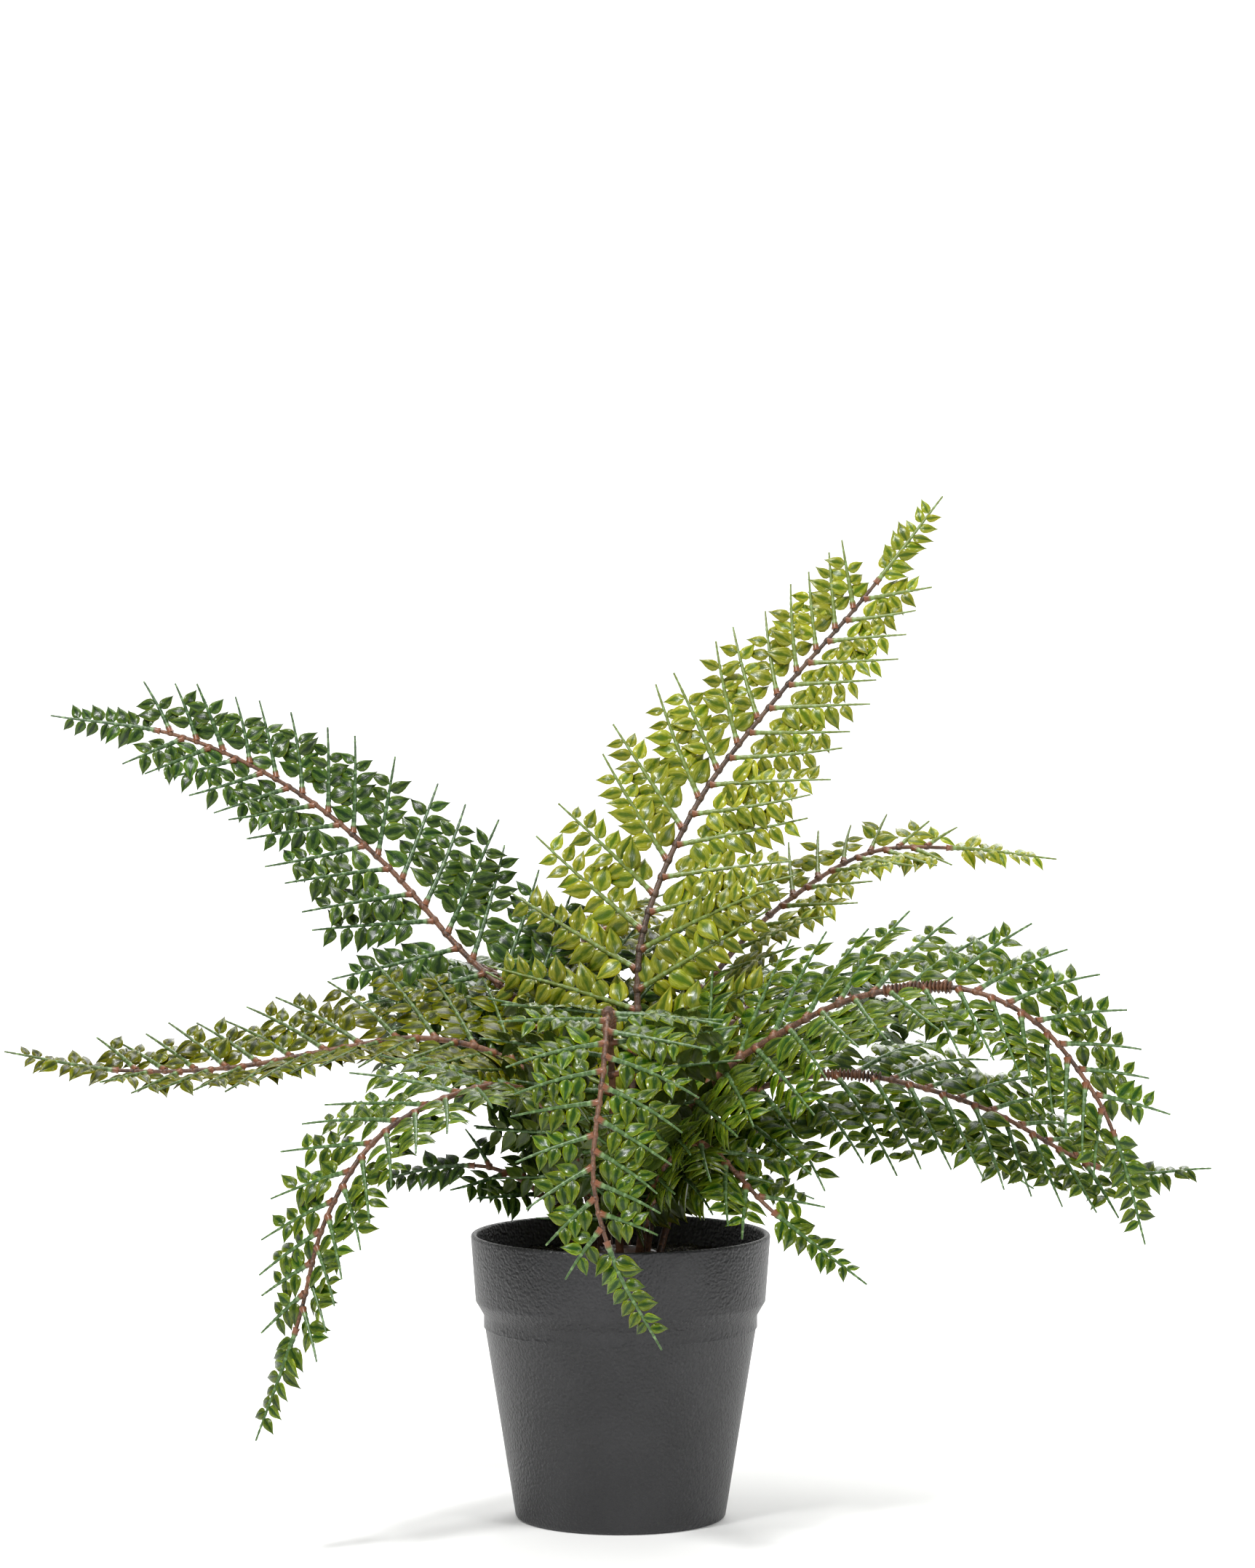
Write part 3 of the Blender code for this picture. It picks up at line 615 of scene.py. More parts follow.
def pinna_line(route, frond, hand, distance, luck):
    """Points and upper normals along one pinna, bent forwards and down by its weight."""
    share = (distance - route.first) / (route.stem_end - route.first)
    point, direction, side, normal = route.frame(distance)
    grown_share = min(share / FULL_LENGTH_AT, 1.0)
    length = frond["reach"] * (FIRST_PINNA_SHARE + (1 - FIRST_PINNA_SHARE) * grown_share)
    length *= 1 - (1 - LAST_PINNA_SHARE) * share
    length *= luck.uniform(0.93, 1.05)
    fold = math.radians(frond["fold"] + luck.uniform(-7, 7))
    least, most = frond.get("sweep", SWEEP)
    sweep = math.radians(least + (most - least) * share + luck.uniform(-5, 5))
    outward = side * hand * math.cos(fold) + normal * math.sin(fold)
    heading = (outward * math.cos(sweep) + direction * math.sin(sweep)).normalized()
    curl = luck.uniform(*CURL)
    droop = (luck.uniform(*DROOP) + frond.get("droop", 0.0)) * length / DROOP_LENGTH
    spot = point + side * hand * rachis_radius(route, distance) * 0.6
    points, faces = [], []
    step = length / (PINNA_POINTS - 1)
    for _ in range(PINNA_POINTS):
        points.append(spot)
        upper = normal * math.cos(fold) - side * hand * math.sin(fold)
        faces.append((upper - heading * upper.dot(heading)).normalized())
        spot = spot + heading * step
        bend = direction * curl + Vector((0, 0, -droop))
        heading = (heading + bend / (PINNA_POINTS - 1)).normalized()
    return points, faces, length


def guide_object(name, lines):
    """A mesh of open polylines; each line brings its normals, leaflet size and tone."""
    mesh = bpy.data.meshes.new(name)
    points, edges, faces, sizes, tones = [], [], [], [], []
    for line, normals, size, tone in lines:
        first = len(points)
        points += line
        edges += [(first + i, first + i + 1) for i in range(len(line) - 1)]
        faces += normals
        sizes += [size] * len(line)
        tones += [tone] * len(line)
    mesh.from_pydata(points, edges, [])
    stored = mesh.attributes.new("face", "FLOAT_VECTOR", "POINT")
    stored.data.foreach_set("vector", [c for f in faces for c in f])
    mesh.attributes.new("size", "FLOAT", "POINT").data.foreach_set("value", sizes)
    mesh.attributes.new("tone", "FLOAT", "POINT").data.foreach_set("value", tones)
    return placed(name, mesh)


# ---- geometry node trees -----------------------------------------------------------------

# What varies from one leaflet to the next, between its least and greatest value: the slant
# along the rib, the rise of the tip, two ways to roll, length, slimness and tint.
LEAFLET_LUCK = {
    "more slant": (-0.20, 0.20),
    "rise": (-0.42, 0.20),
    "roll along": (-0.36, 0.36),
    "roll aside": (-0.15, 0.40),
    "more length": (0.88, 1.10),
    "slimness": (0.94, 1.10),
    "pick": (0.0, ATLAS_COLUMNS - 0.001),
    "more tone": (-0.22, 0.22),
}
GUIDE_VALUES = {
    "size": "FLOAT", "tone": "FLOAT", "face": "FLOAT_VECTOR", "along": "FLOAT",
    "whole": "FLOAT", "share": "FLOAT", "around": "FLOAT", "cell": "FLOAT_VECTOR",
}

# How each size and place on a pinna is worked out: a value to start from, then sums on it.
LEAFLET_SUMS = {
    "gap": ("size", ("MULTIPLY", "Spacing")),
    "count": ("length", ("DIVIDE", "gap"), ("ROUND", 0.0)),
    "too low": ("along", ("LESS_THAN", "Bare Base")),
    "leafy end": ("whole", ("SUBTRACT", "Bare Tip")),
    "bare": ("along", ("GREATER_THAN", "leafy end"), ("MAXIMUM", "too low")),
    "hand": ("index", ("MODULO", 2.0), ("MULTIPLY", 2.0), ("SUBTRACT", 1.0)),
    "slant": ("Slant", ("ADD", "more slant")),
    "ahead": ("slant", ("COSINE", 0.0)),
    "aside": ("slant", ("SINE", 0.0)),
    "taper": ("share", ("POWER", 1.3), ("MULTIPLY", -0.46), ("ADD", 1.0),
              ("MULTIPLY", "more length")),
    "long": ("Longest", ("MULTIPLY", "size"), ("MULTIPLY", "taper")),
    "slim": ("share", ("MULTIPLY", -0.16), ("ADD", "slimness"), ("MULTIPLY", "Slenderness")),
    "wide": ("long", ("MULTIPLY", "slim")),
    "column": ("pick", ("FLOOR", 0.0)),
    "row": ("tone", ("ADD", "more tone"), ("MAXIMUM", 0.0), ("MINIMUM", 0.999),
            ("MULTIPLY", LEAF_ROWS), ("FLOOR", 0.0)),
}
RIB_SUMS = {
    "knob": ("along", ("MULTIPLY", 2 * math.pi), ("DIVIDE", "gap"), ("COSINE", 0.0),
             ("ADD", 1.0), ("MULTIPLY", 0.5), ("POWER", 3.0)),
    "swell": ("knob", ("MULTIPLY", 0.28), ("ADD", 0.90)),
    "stout": ("size", ("MULTIPLY", 0.55), ("ADD", 0.45)),
    "girth": ("thin", ("MULTIPLY", "stub"), ("MULTIPLY", "swell"), ("MULTIPLY", "Rib Radius"),
              ("MULTIPLY", "stout")),
    "strip u": ("along", ("DIVIDE", RIB_UV_LENGTH)),
    "strip v": ("around", ("MULTIPLY", RIB_STRIP[1]), ("ADD", RIB_STRIP[0])),
}
RIB_STEP = 0.0013
RIB_SIDES = 6
RIB_THIN_END = 0.32
STUB_ENDS = (0.0012, 0.0034)
STUB_GIRTH = 1.25


def reckon(tree, value, sums):
    """Adds the nodes of a table of sums, and puts each result in value under its name."""
    for name, (start, *steps) in sums.items():
        value[name] = value[start]
        for operation, other in steps:
            other = value[other] if isinstance(other, str) else other
            value[name] = add(tree, "ShaderNodeMath", {0: value[name], 1: other}, out=0,
                              operation=operation)


def foliage_tree():
    """Leaflets in two alternating rows along every guide line, and the rib that carries them."""
    tree, given, out = new_geometry_tree("foliage", {
        "Leaflet": "Object", "Spacing": "Float", "Longest": "Float", "Slenderness": "Float",
        "Slant": "Float", "Bare Base": "Float", "Bare Tip": "Float", "Rib Radius": "Float",
        "Seed": "Int", "Leaf Material": "Material", "Rib Material": "Material",
    })
    value = {socket.name: socket for socket in given if socket.name}
    curve = add(tree, "GeometryNodeMeshToCurve", {0: given["Geometry"]}, out=0)
    parameter = add(tree, "GeometryNodeSplineParameter").outputs
    value["length"] = add(tree, "GeometryNodeSplineLength", out="Length")
    for name, field, domain in (("along", parameter["Length"], "POINT"),
                                ("whole", value["length"], "CURVE"),
                                ("share", parameter["Factor"], "POINT")):
        curve = add(tree, "GeometryNodeStoreNamedAttribute",
                    {0: curve, "Name": name, "Value": field}, out=0,
                    data_type="FLOAT", domain=domain)
    for name, kind in GUIDE_VALUES.items():
        value[name] = add(tree, "GeometryNodeInputNamedAttribute", {"Name": name}, out=0,
                          data_type=kind)
    for salt, (name, (least, most)) in enumerate(LEAFLET_LUCK.items(), start=1):
        seed = add(tree, "ShaderNodeMath", {0: given["Seed"], 1: salt}, out=0, operation="ADD")
        value[name] = add(tree, "FunctionNodeRandomValue", {2: least, 3: most, "Seed": seed},
                          out=1)
    value["index"] = add(tree, "GeometryNodeInputIndex", out=0)
    reckon(tree, value, LEAFLET_SUMS)

    # where the leaflets stand, and which way each one points and faces
    spread = add(tree, "GeometryNodeCurveToPoints", {0: curve, "Count": value["count"]},
                 mode="COUNT").outputs
    points = add(tree, "GeometryNodeDeleteGeometry", {0: spread["Points"], 1: value["bare"]},
                 out=0, domain="POINT")
    tangent, upper = spread["Tangent"], value["face"]
    side = add(tree, "ShaderNodeVectorMath", {0: tangent, 1: upper}, out=0,
               operation="CROSS_PRODUCT")
    side = add(tree, "ShaderNodeVectorMath", {0: side, "Scale": value["hand"]}, out=0,
               operation="SCALE")
    leaned = []
    for terms in (((tangent, "ahead"), (side, "aside"), (upper, "rise")),
                  ((tangent, "roll along"), (side, "roll aside"))):
        scaled = [add(tree, "ShaderNodeVectorMath", {0: line, "Scale": value[amount]}, out=0,
                      operation="SCALE") for line, amount in terms]
        total = scaled[0]
        for term in scaled[1:]:
            total = add(tree, "ShaderNodeVectorMath", {0: total, 1: term}, out=0,
                        operation="ADD")
        leaned.append(total)
    heading, roll = leaned
    faced = add(tree, "ShaderNodeVectorMath", {0: upper, 1: roll}, out=0, operation="ADD")
    rotation = add(tree, "FunctionNodeAxesToRotation", {0: heading, 1: faced}, out=0,
                   primary_axis="Y", secondary_axis="Z")

    # the leaflets themselves, each in its cell of the tinting
    scale = add(tree, "ShaderNodeCombineXYZ",
                {0: value["wide"], 1: value["long"], 2: value["wide"]}, out=0)
    blade = add(tree, "GeometryNodeObjectInfo", {"Object": given["Leaflet"]}, out="Geometry")
    leaflets = add(tree, "GeometryNodeInstanceOnPoints",
                   {"Points": points, "Instance": blade, "Rotation": rotation, "Scale": scale},
                   out=0)
    cell = add(tree, "ShaderNodeCombineXYZ", {0: value["column"], 1: value["row"]}, out=0)
    leaflets = add(tree, "GeometryNodeStoreNamedAttribute",
                   {0: leaflets, "Name": "cell", "Value": cell}, out=0,
                   data_type="FLOAT_VECTOR", domain="INSTANCE")
    leaflets = add(tree, "GeometryNodeRealizeInstances", {0: leaflets}, out=0)
    own = add(tree, "GeometryNodeInputNamedAttribute", {"Name": "OFBake"}, out=0,
              data_type="FLOAT_VECTOR")
    in_atlas = add(tree, "ShaderNodeVectorMath", {0: own, 1: value["cell"]}, out=0,
                   operation="ADD")
    in_atlas = add(tree, "ShaderNodeVectorMath",
                   {0: in_atlas, 1: (1 / ATLAS_COLUMNS, 1 / ATLAS_ROWS, 0.0)}, out=0,
                   operation="MULTIPLY")
    leaflets = add(tree, "GeometryNodeStoreNamedAttribute",
                   {0: leaflets, "Name": "OFBake", "Value": in_atlas}, out=0,
                   data_type="FLOAT2", domain="CORNER")
    leaflets = add(tree, "GeometryNodeSetMaterial",
                   {0: leaflets, "Material": given["Leaf Material"]}, out=0)

    # ribs: a knob at every leaflet, a thick stub at the rachis and a long bare point
    fine = add(tree, "GeometryNodeResampleCurve", {0: curve, "Length": RIB_STEP}, out=0,
               mode="LENGTH")
    value["thin"] = add(tree, "ShaderNodeMapRange",
                        {0: value["share"], 1: 0.0, 2: 1.0, 3: 1.0, 4: RIB_THIN_END}, out=0)
    value["stub"] = add(tree, "ShaderNodeMapRange",
                        {0: value["along"], 1: STUB_ENDS[0], 2: STUB_ENDS[1], 3: STUB_GIRTH,
                         4: 1.0}, out=0)
    reckon(tree, value, RIB_SUMS)
    circle = add(tree, "GeometryNodeCurvePrimitiveCircle",
                 {"Resolution": RIB_SIDES, "Radius": 1.0}, out=0)
    around = add(tree, "GeometryNodeStoreNamedAttribute",
                 {0: circle, "Name": "around", "Value": parameter["Factor"]}, out=0,
                 data_type="FLOAT", domain="POINT")
    ribs = add(tree, "GeometryNodeCurveToMesh",
               {"Curve": fine, "Profile Curve": around, "Scale": value["girth"],
                "Fill Caps": True}, out=0)
    ribs = add(tree, "GeometryNodeSetShadeSmooth", {0: ribs}, out=0)
    strip = add(tree, "ShaderNodeCombineXYZ", {0: value["strip u"], 1: value["strip v"]}, out=0)
    ribs = add(tree, "GeometryNodeStoreNamedAttribute",
               {0: ribs, "Name": "OFBake", "Value": strip}, out=0,
               data_type="FLOAT2", domain="CORNER")
    ribs = add(tree, "GeometryNodeSetMaterial",
               {0: ribs, "Material": given["Rib Material"]}, out=0)

    joined = add(tree, "GeometryNodeJoinGeometry")
    for part in (ribs, leaflets):
        tree.links.new(part, joined.inputs[0])
    done = joined.outputs[0]
    for name in GUIDE_VALUES:
        done = add(tree, "GeometryNodeRemoveAttribute", {0: done, "Name": name}, out=0)
    tree.links.new(done, out.inputs[0])
    return tree


STEM_STEP = 0.0014
STEM_SIDES = 10
LUMPS_PER_METRE = 380.0
RING_SPACING = 0.0017
RING_RADII = (0.0019, 0.0024)
RING_HEIGHT = 0.0004


def rachis_tree():
    """A tapering stem along the guide, a collar at every joint and a stack of rings."""
    tree, given, out = new_geometry_tree("rachis", {
        "Joints": "Object", "Collar": "Object", "Base Radius": "Float", "End Radius": "Float",
        "Rings From": "Float", "Rings To": "Float", "Seed": "Int", "Material": "Material",
    })
    curve = add(tree, "GeometryNodeMeshToCurve", {0: given["Geometry"]}, out=0)
    curve = add(tree, "GeometryNodeResampleCurve", {0: curve, "Length": STEM_STEP}, out=0,
                mode="LENGTH")
    parameter = add(tree, "GeometryNodeSplineParameter").outputs
    value = {socket.name: socket for socket in given if socket.name}
    value["from base"] = parameter["Length"]
    for name, kind in (("along", "FLOAT"), ("radius", "FLOAT"), ("heading", "FLOAT_VECTOR")):
        value[name] = add(tree, "GeometryNodeInputNamedAttribute", {"Name": name}, out=0,
                          data_type=kind)
    value["girth"] = add(tree, "ShaderNodeMapRange",
                         {0: parameter["Factor"], 3: given["Base Radius"],
                          4: given["End Radius"]}, out=0)
    reckon(tree, value, {
        "place": ("from base", ("MULTIPLY", LUMPS_PER_METRE), ("ADD", "Seed")),
        "before": ("along", ("LESS_THAN", "Rings From")),
        "no ring": ("along", ("GREATER_THAN", "Rings To"), ("MAXIMUM", "before")),
    })
    value["lumps"] = add(tree, "ShaderNodeTexNoise",
                         {"W": value["place"], "Scale": 1.0, "Detail": 2.0}, out=0,
                         noise_dimensions="1D")
    reckon(tree, value, {
        "lumpy": ("lumps", ("MULTIPLY", 0.34), ("ADD", 0.80), ("MULTIPLY", "girth")),
    })
    circle = add(tree, "GeometryNodeCurvePrimitiveCircle",
                 {"Resolution": STEM_SIDES, "Radius": 1.0}, out=0)
    stem = add(tree, "GeometryNodeCurveToMesh",
               {"Curve": curve, "Profile Curve": circle, "Scale": value["lumpy"],
                "Fill Caps": True}, out=0)
    stem = add(tree, "GeometryNodeSetShadeSmooth", {0: stem}, out=0)

    barrel = add(tree, "GeometryNodeObjectInfo", {"Object": given["Collar"]}, out="Geometry")
    joints = add(tree, "GeometryNodeObjectInfo", {"Object": given["Joints"]}, out="Geometry")
    upright = add(tree, "FunctionNodeAlignRotationToVector", {"Vector": value["heading"]},
                  out=0, axis="Z")
    collars = add(tree, "GeometryNodeInstanceOnPoints",
                  {"Points": joints, "Instance": barrel, "Rotation": upright,
                   "Scale": value["radius"]}, out=0)

    measured = add(tree, "GeometryNodeStoreNamedAttribute",
                   {0: curve, "Name": "along", "Value": parameter["Length"]}, out=0,
                   data_type="FLOAT", domain="POINT")
    spread = add(tree, "GeometryNodeCurveToPoints", {0: measured, "Length": RING_SPACING},
                 mode="LENGTH").outputs
    ringed = add(tree, "GeometryNodeDeleteGeometry", {0: spread["Points"], 1: value["no ring"]},
                 out=0, domain="POINT")
    wide = add(tree, "FunctionNodeRandomValue",
               {2: RING_RADII[0], 3: RING_RADII[1], "Seed": given["Seed"]}, out=1)
    flat = add(tree, "ShaderNodeCombineXYZ", {0: wide, 1: wide, 2: RING_HEIGHT}, out=0)
    rings = add(tree, "GeometryNodeInstanceOnPoints",
                {"Points": ringed, "Instance": barrel, "Rotation": spread["Rotation"],
                 "Scale": flat}, out=0)
    joined = add(tree, "GeometryNodeJoinGeometry")
    for part in (rings, collars, stem):
        tree.links.new(part, joined.inputs[0])
    whole = add(tree, "GeometryNodeRealizeInstances", {0: joined.outputs[0]}, out=0)
    whole = add(tree, "GeometryNodeSetMaterial",
                {0: whole, "Material": given["Material"]}, out=0)
    tree.links.new(whole, out.inputs[0])
    return tree


def granule_tree():
    """Crumbs of filling scattered over the upward faces of a surface."""
    tree, given, out = new_geometry_tree("granules", {
        "Crumb": "Object", "Spacing": "Float", "Smallest": "Float", "Largest": "Float",
        "Seed": "Int", "Material": "Material",
    })
    normal = add(tree, "GeometryNodeInputNormal", out=0)
    upward = add(tree, "ShaderNodeSeparateXYZ", {0: normal}, out=2)
    facing = add(tree, "ShaderNodeMath", {0: upward, 1: 0.6}, operation="GREATER_THAN")
    spots = add(tree, "GeometryNodeDistributePointsOnFaces",
                {0: given["Geometry"], "Selection": facing.outputs[0],
                 "Distance Min": given["Spacing"], "Density Max": 900000.0,
                 "Seed": given["Seed"]}, distribute_method="POISSON")
    turn = add(tree, "FunctionNodeRandomValue", {0: (0, 0, 0), 1: (6.28, 6.28, 6.28)},
               data_type="FLOAT_VECTOR")
    size = add(tree, "FunctionNodeRandomValue", {2: given["Smallest"], 3: given["Largest"]})
    crumb = add(tree, "GeometryNodeObjectInfo", {"Object": given["Crumb"]}, out="Geometry")
    crumbs = add(tree, "GeometryNodeInstanceOnPoints",
                 {"Points": spots.outputs[0], "Instance": crumb, "Rotation": turn.outputs[0],
                  "Scale": size.outputs[1]})
    joined = add(tree, "GeometryNodeJoinGeometry")
    tree.links.new(crumbs.outputs[0], joined.inputs[0])
    tree.links.new(given["Geometry"], joined.inputs[0])
    whole = add(tree, "GeometryNodeRealizeInstances", {0: joined.outputs[0]}, out=0)
    whole = add(tree, "GeometryNodeSetMaterial",
                {0: whole, "Material": given["Material"]}, out=0)
    tree.links.new(whole, out.inputs[0])
    return tree


# ---- pot and filling ---------------------------------------------------------------------

def arc(centre, radius, start, end, steps):
    """Points of a round corner in the profile's plane, from one angle to another in degrees."""
    turns = [math.radians(start + (end - start) * i / steps) for i in range(steps + 1)]
    return [(centre[0] + radius * math.cos(t), centre[1] + radius * math.sin(t)) for t in turns]


def turned_mesh(name, profile, steps, sharp=35):
    """A solid of revolution about Z whose profile starts and ends on the axis."""
    bm = bmesh.new()
    points = [bm.verts.new((radius, 0.0, height)) for radius, height in profile]
    edges = [bm.edges.new(pair) for pair in zip(points, points[1:])]
    bmesh.ops.spin(bm, geom=points + edges, cent=(0, 0, 0), axis=(0, 0, 1),
                   angle=2 * math.pi, steps=steps, use_merge=True)
    bmesh.ops.remove_doubles(bm, verts=bm.verts, dist=1e-6)
    bmesh.ops.recalc_face_normals(bm, faces=bm.faces)
    mesh = bpy.data.meshes.new(name)
    bm.to_mesh(mesh)
    bm.free()
    mesh.shade_smooth()
    mesh.set_sharp_from_angle(angle=math.radians(sharp))
    return mesh


# The pot's profile: radii and heights of its foot, of the body's top and of the band's foot,
# each with the small offsets that round its edges.
POT_BASE_RADIUS = 0.0458
FOOT_ROUND = 0.0022
POT_WALL = 0.0026
POT_FLOOR = 0.0040
BODY_TOP = (0.0594, 0.0889)
BODY_TOP_EDGES = ((-0.0006, -0.0062), (0.0, -0.0054), (0.0, 0.0), (0.0004, 0.0006))
BAND_FOOT = (0.0629, 0.0948)
BAND_FOOT_EDGES = ((-0.0005, -0.0008), (0.0, 0.0), (0.0001, 0.0008))


def make_pot():
    """One turned shell: foot, tapering body, chamfer, plain band and round lip."""
    low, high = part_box("pot")
    rim, top = high.x, high.z
    lip = POT_WALL / 2
    foot = POT_BASE_RADIUS - FOOT_ROUND
    profile = [(0, low.z), (foot, low.z)]
    profile += arc((foot, low.z + FOOT_ROUND), FOOT_ROUND, -90, -8, 5)
    for (radius, height), edges in ((BODY_TOP, BODY_TOP_EDGES), (BAND_FOOT, BAND_FOOT_EDGES)):
        profile += [(radius + outward, height + up) for outward, up in edges]
    profile.append((rim, top - lip))
    profile += arc((rim - lip, top - lip), lip, 0, 180, 8)[1:]
    profile += [(BAND_FOOT[0] - POT_WALL, BAND_FOOT[1]), (BODY_TOP[0] - POT_WALL, BODY_TOP[1])]
    profile += [(POT_BASE_RADIUS + 0.0006 - POT_WALL, POT_FLOOR), (0, POT_FLOOR)]
    piece = placed("plant_pot", turned_mesh("plant_pot", profile, 160))
    piece.data.materials.append(pot_plastic())
    return finished(piece, "pot", "pot")


# The filling stays just clear of the pot's wall and closes round the crown; its top is lowered
# by half a crumb and waved, coarsely and finely.
FILL_BASE_RADIUS = 0.0436
FILL_SIDE = [(0.0568, 0.0889), (0.0600, 0.0948)]
FILL_WALL_GAP = 0.0004
FILL_CROWN_LAP = 0.0006
FILL_LOWERED = 0.0012
FILL_HOLE_DEPTH = 0.006
FILL_RINGS = 26
FILL_WAVES = ((90, 0.0022), (420, 0.0009))
FLAT_MARGIN = 0.0005
CRUMB_SPACING, SMALLEST_CRUMB, LARGEST_CRUMB = 1.3 * MM, 0.5 * MM, 1.5 * MM


def crumb_mesh():
    """One lumpy, flattened crumb of peat, one unit in radius."""
    mesh = bpy.data.meshes.new("crumb")
    bm = bmesh.new()
    bmesh.ops.create_icosphere(bm, subdivisions=1, radius=1.0)
    for vertex in bm.verts:
        vertex.co *= 1 + 0.45 * noise.noise(vertex.co * 2.3)
        vertex.co.z *= 0.7
    bm.to_mesh(mesh)
    bm.free()
    return mesh


def make_filling():
    """The growing medium's body with an uneven top, strewn with crumbs."""
    low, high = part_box("growing_medium")
    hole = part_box("crown")[1].x - FILL_CROWN_LAP
    edge = high.x - FILL_WALL_GAP
    top = high.z - FILL_LOWERED
    profile = [(0, low.z), (FILL_BASE_RADIUS, low.z), *FILL_SIDE, (edge, top)]
    profile += [(edge + (hole - edge) * i / FILL_RINGS, top) for i in range(1, FILL_RINGS + 1)]
    profile += [(hole, top - FILL_HOLE_DEPTH), (0, top - FILL_HOLE_DEPTH)]
    mesh = turned_mesh("filling", profile, 120, sharp=180)
    for vertex in mesh.vertices:
        radius = math.hypot(vertex.co.x, vertex.co.y)
        if vertex.co.z > top - 0.0001 and hole + FLAT_MARGIN < radius < edge - FLAT_MARGIN:
            vertex.co.z += sum(noise.noise(vertex.co * fine) * height
                               for fine, height in FILL_WAVES)
    source = placed("crumb", crumb_mesh())
    piece = grown("filling", placed("filling_base", mesh), granule_tree(), {
        "Crumb": source, "Spacing": CRUMB_SPACING, "Smallest": SMALLEST_CRUMB,
        "Largest": LARGEST_CRUMB, "Seed": 5, "Material": peat(),
    })
    bpy.data.objects.remove(source)
    return finished(piece, "growing_medium", "growing_medium")


# ---- fronds ------------------------------------------------------------------------------

TIP_POINTS = 14
TIP_LEAFLET_SIZE = 0.72
SMALLEST_LEAFLET_SIZE = 0.58
FULL_SIZE_PINNA = 0.075
STEM_POINTS = 91
NO_RINGS = (1.0, 0.0)


def frond_lines(route, frond, luck):
    """The guide lines of a frond's pinnae and tip, and the joints of the pinnae."""
    lines, joints = [], []
    for hand, distance in pinna_stations(route):
        points, normals, length = pinna_line(route, frond, hand, distance, luck)
        fullness = min(length / FULL_SIZE_PINNA, 1.0)
        size = SMALLEST_LEAFLET_SIZE + (1 - SMALLEST_LEAFLET_SIZE) * fullness
        lines.append((points, normals, size, luck.random()))
        joints.append((route.frame(distance), rachis_radius(route, distance)))
    tip = [route.frame(route.stem_end + TIP_LENGTH * i / (TIP_POINTS - 1))
           for i in range(TIP_POINTS)]
    lines.append(([f[0] for f in tip], [f[3] for f in tip], TIP_LEAFLET_SIZE, luck.random()))
    return lines, joints


def joints_object(joints):
    """A point at each joint, with the rachis's direction and radius there."""
    mesh = bpy.data.meshes.new("joints")
    mesh.from_pydata([f[0] for f, _ in joints], [], [])
    heading = mesh.attributes.new("heading", "FLOAT_VECTOR", "POINT")
    heading.data.foreach_set("vector", [c for f, _ in joints for c in f[1]])
    radius = mesh.attributes.new("radius", "FLOAT", "POINT")
    radius.data.foreach_set("value", [r for _, r in joints])
    return placed("joints", mesh)


def stem_line_object(route):
    mesh = bpy.data.meshes.new("stem_line")
    last = STEM_POINTS - 1
    mesh.from_pydata([route.point(route.stem_end * i / last) for i in range(STEM_POINTS)],
                     [(i, i + 1) for i in range(last)], [])
    return placed("stem_line", mesh)


def make_fronds():
    """Every frond: its leaflets and ribs as one piece, its rachis as another."""
    foliage, rachis = foliage_tree(), rachis_tree()
    leaflet = placed("leaflet", leaflet_mesh())
    collar = placed("collar", collar_mesh())
    leaves = {tone: leaf_plastic(tone) for tone in TONES}
    ribs = {tone: rib_plastic(tone) for tone in TONES}
    warm = rachis_plastic("rachis_red_brown", "6e4a34", "3a281e", "96684a")
    dark = rachis_plastic("rachis_dark_brown", "57402f", "33241a", "785a42")
    for number, (name, frond) in enumerate(FRONDS.items()):
        route = Route(frond)
        lines, joints = frond_lines(route, frond, random.Random(1000 + number))
        piece = grown(f"{name}_frond_foliage", guide_object("guide", lines), foliage, {
            "Leaflet": leaflet, "Spacing": 3.55 * MM, "Longest": 16.4 * MM, "Slenderness": 0.62,
            "Slant": math.radians(60), "Bare Base": 3.6 * MM, "Bare Tip": 10.0 * MM,
            "Rib Radius": 1.45 * MM, "Seed": number * 40,
            "Leaf Material": leaves[frond["tone"]], "Rib Material": ribs[frond["tone"]],
        })
        cad = f"{name}_frond_"
        finished(piece, f"leaf_{frond['tone']}", f"{cad}left_pinnae", f"{cad}right_pinnae",
                 f"{cad}tip")
        knots = joints_object(joints)
        rings = frond.get("rings", NO_RINGS)
        piece = grown(f"{name}_frond_rachis", stem_line_object(route), rachis, {
            "Joints": knots, "Collar": collar, "Base Radius": STEM_BASE_RADIUS,
            "End Radius": STEM_END_RADIUS * 0.9, "Rings From": rings[0], "Rings To": rings[1],
            "Seed": number, "Material": dark if name == "upright" else warm,
        })
        finished(piece, "rachis", f"{cad}stem")
        bpy.data.objects.remove(knots)
    for source in (leaflet, collar):
        bpy.data.objects.remove(source)


CROWN_SHOULDER = 0.0075
CROWN_WITHIN = 0.0004
CROWN_STEPS = 10


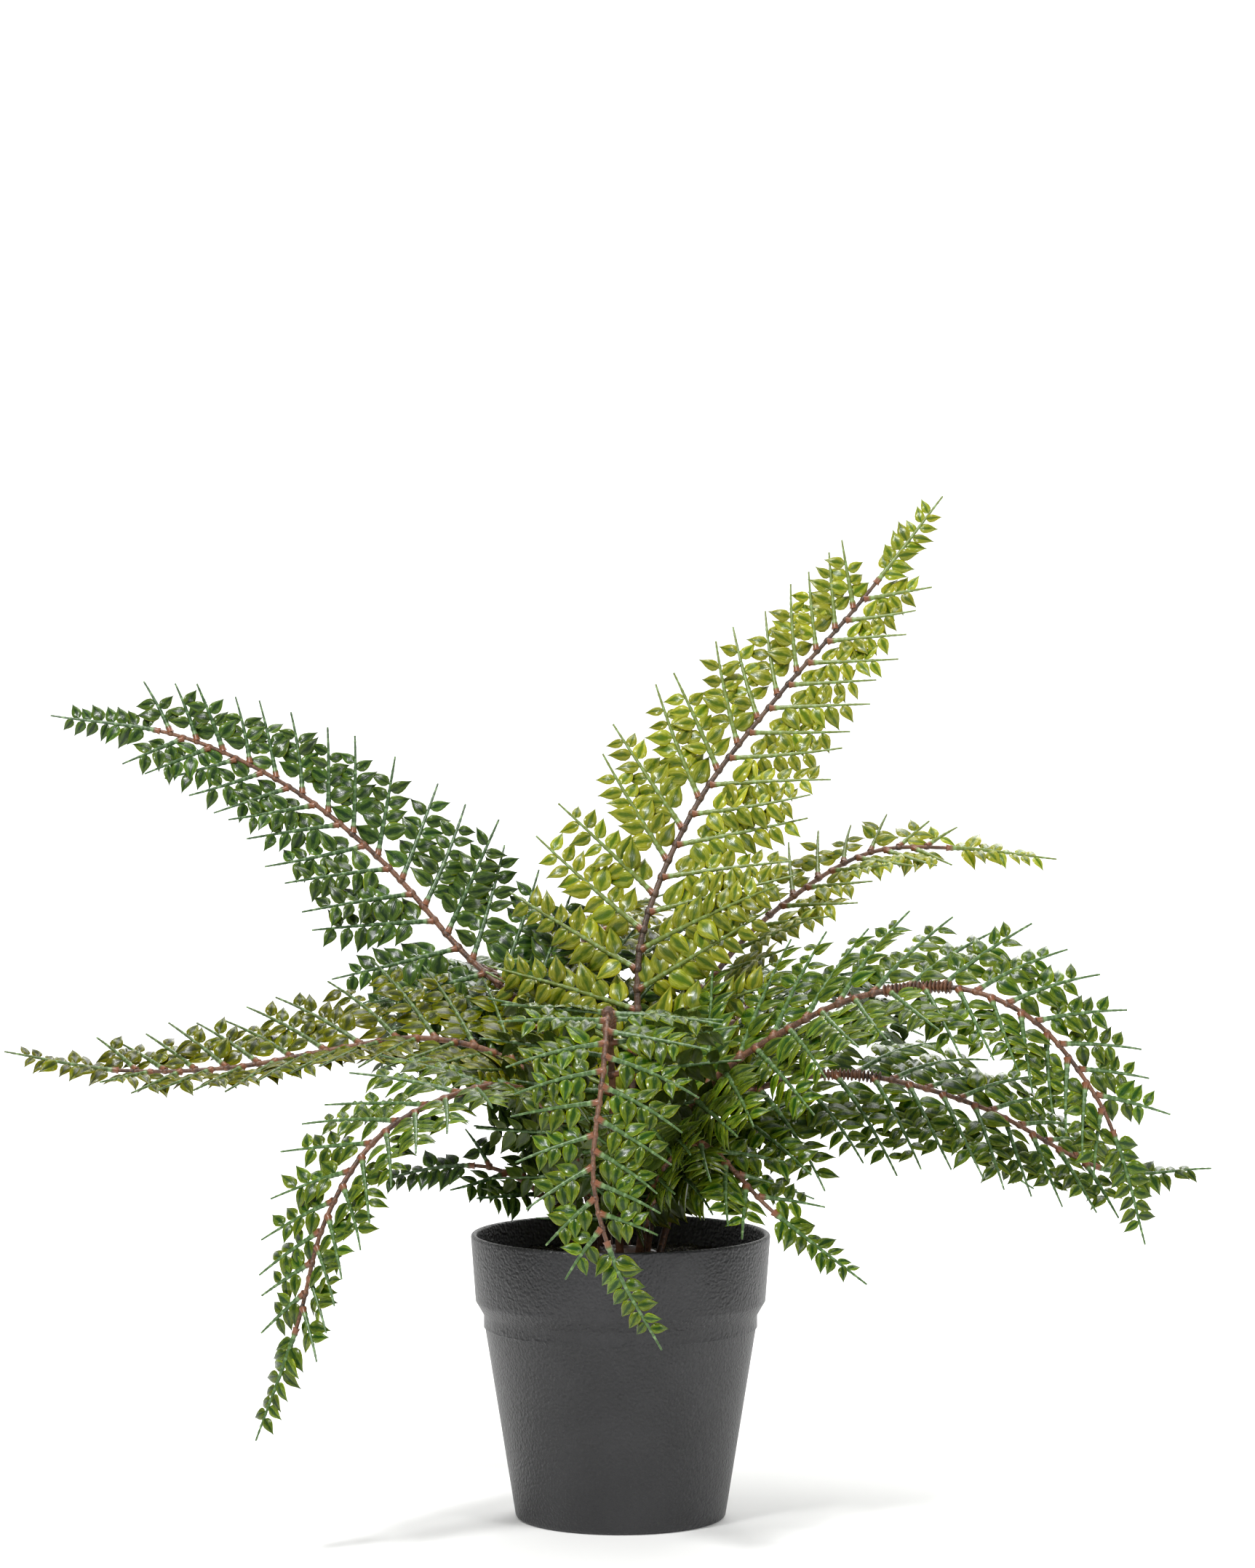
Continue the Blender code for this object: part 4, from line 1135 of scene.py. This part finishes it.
def make_crown():
    """The stems' common foot: a low dome that stands a little out of the filling."""
    low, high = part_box("crown")
    radius = high.x - CROWN_WITHIN
    shoulder = high.z - CROWN_SHOULDER
    profile = [(0, low.z), (radius, low.z)]
    for i in range(CROWN_STEPS):
        turn = math.radians(90 * i / CROWN_STEPS)
        profile.append((radius * math.cos(turn),
                        shoulder + (high.z - shoulder) * math.sin(turn)))
    profile.append((0, high.z))
    mesh = turned_mesh("crown", profile, 72, sharp=60)
    for vertex in mesh.vertices:
        if vertex.co.z > shoulder + 0.0004:
            vertex.co.z -= abs(noise.noise(vertex.co * 260)) * 0.0016
    piece = placed("stem_foot", mesh)
    piece.data.materials.append(rachis_plastic("crown_brown", "4a3326", "241812", "6a4a38"))
    return finished(piece, "rachis", "crown")


# ---- stage -------------------------------------------------------------------------------

CAMERA_DISTANCE = 2.30
CAMERA_HEIGHT = 0.430
AIM = (0.003, 0.0, 0.3192)
LENS = 122.2


# Lamps: where each stands, what it is turned to, its diameter and its power in watts.
LAMPS = {
    "key": ((-0.8, -1.3, 1.9), (0, 0, 0.2), 0.36, 42),
    "fill": ((1.5, -1.5, 1.1), (0, 0, 0.2), 0.5, 14),
    "rim": ((0.4, 1.5, 1.4), (0, 0, 0.3), 1.2, 16),
    "backdrop": ((0, 0.6, 2.6), (0, 2.6, 0.9), 1.6, 60),
}
SKY_STRENGTH = 0.36
PAPER_NEAR, PAPER_BEND_START, PAPER_BEND_RADIUS = -9.0, 1.6, 1.2
PAPER_TOP, PAPER_HALF_WIDTH = 4.5, 7


def make_paper():
    """The paper roll: flat under the pot, then bent up behind it."""
    outline = [(PAPER_NEAR, 0.0)]
    for angle in range(0, 91, 6):
        turn = math.radians(angle)
        outline.append((PAPER_BEND_START + PAPER_BEND_RADIUS * math.sin(turn),
                        PAPER_BEND_RADIUS - PAPER_BEND_RADIUS * math.cos(turn)))
    outline.append((PAPER_BEND_START + PAPER_BEND_RADIUS, PAPER_TOP))
    bm = bmesh.new()
    for a, b in zip(outline, outline[1:]):
        corners = [(-PAPER_HALF_WIDTH, *a), (PAPER_HALF_WIDTH, *a), (PAPER_HALF_WIDTH, *b),
                   (-PAPER_HALF_WIDTH, *b)]
        bm.faces.new([bm.verts.new(c) for c in corners])
    bmesh.ops.remove_doubles(bm, verts=bm.verts, dist=1e-5)
    mesh = bpy.data.meshes.new("studio_floor")
    bm.to_mesh(mesh)
    bm.free()
    mesh.shade_smooth()
    floor = placed("studio_floor", mesh)
    material, _, shader = new_material("pale_paper_roll")
    shader.inputs["Base Color"].default_value = srgb("f4f4f3")
    shader.inputs["Roughness"].default_value = 0.9
    shader.inputs["Emission Color"].default_value = (1.0, 1.0, 1.0, 1.0)
    shader.inputs["Emission Strength"].default_value = 0.08
    floor.data.materials.append(material)


def aimed(name, data, place, aim):
    """Puts a lamp or camera in its place, turned to what it is aimed at."""
    held = bpy.data.objects.new(name, data)
    held.location = place
    held.rotation_euler = (Vector(aim) - Vector(place)).to_track_quat("-Z", "Y").to_euler()
    bpy.context.scene.collection.objects.link(held)
    return held


def make_stage():
    """White studio: sky, paper roll, four soft lamps and the camera."""
    scene = bpy.context.scene
    scene.view_settings.view_transform = "Standard"
    world = bpy.data.worlds.new("studio")
    world.use_nodes = True
    sky = world.node_tree.nodes.get("Background") or add(
        world.node_tree, "ShaderNodeBackground")
    sky.inputs["Color"].default_value = (1.0, 1.0, 1.0, 1.0)
    sky.inputs["Strength"].default_value = SKY_STRENGTH
    scene.world = world
    make_paper()
    for name, (place, aim, size, power) in LAMPS.items():
        lamp = bpy.data.lights.new(name, "AREA")
        lamp.shape = "DISK"
        lamp.size = size
        lamp.energy = power
        aimed(name, lamp, place, aim)
    lens = bpy.data.cameras.new("camera")
    lens.lens = LENS
    lens.sensor_width = 36.0
    scene.camera = aimed("camera", lens, (AIM[0], -CAMERA_DISTANCE, CAMERA_HEIGHT), AIM)


make_stage()
make_pot()
make_filling()
make_crown()
make_fronds()
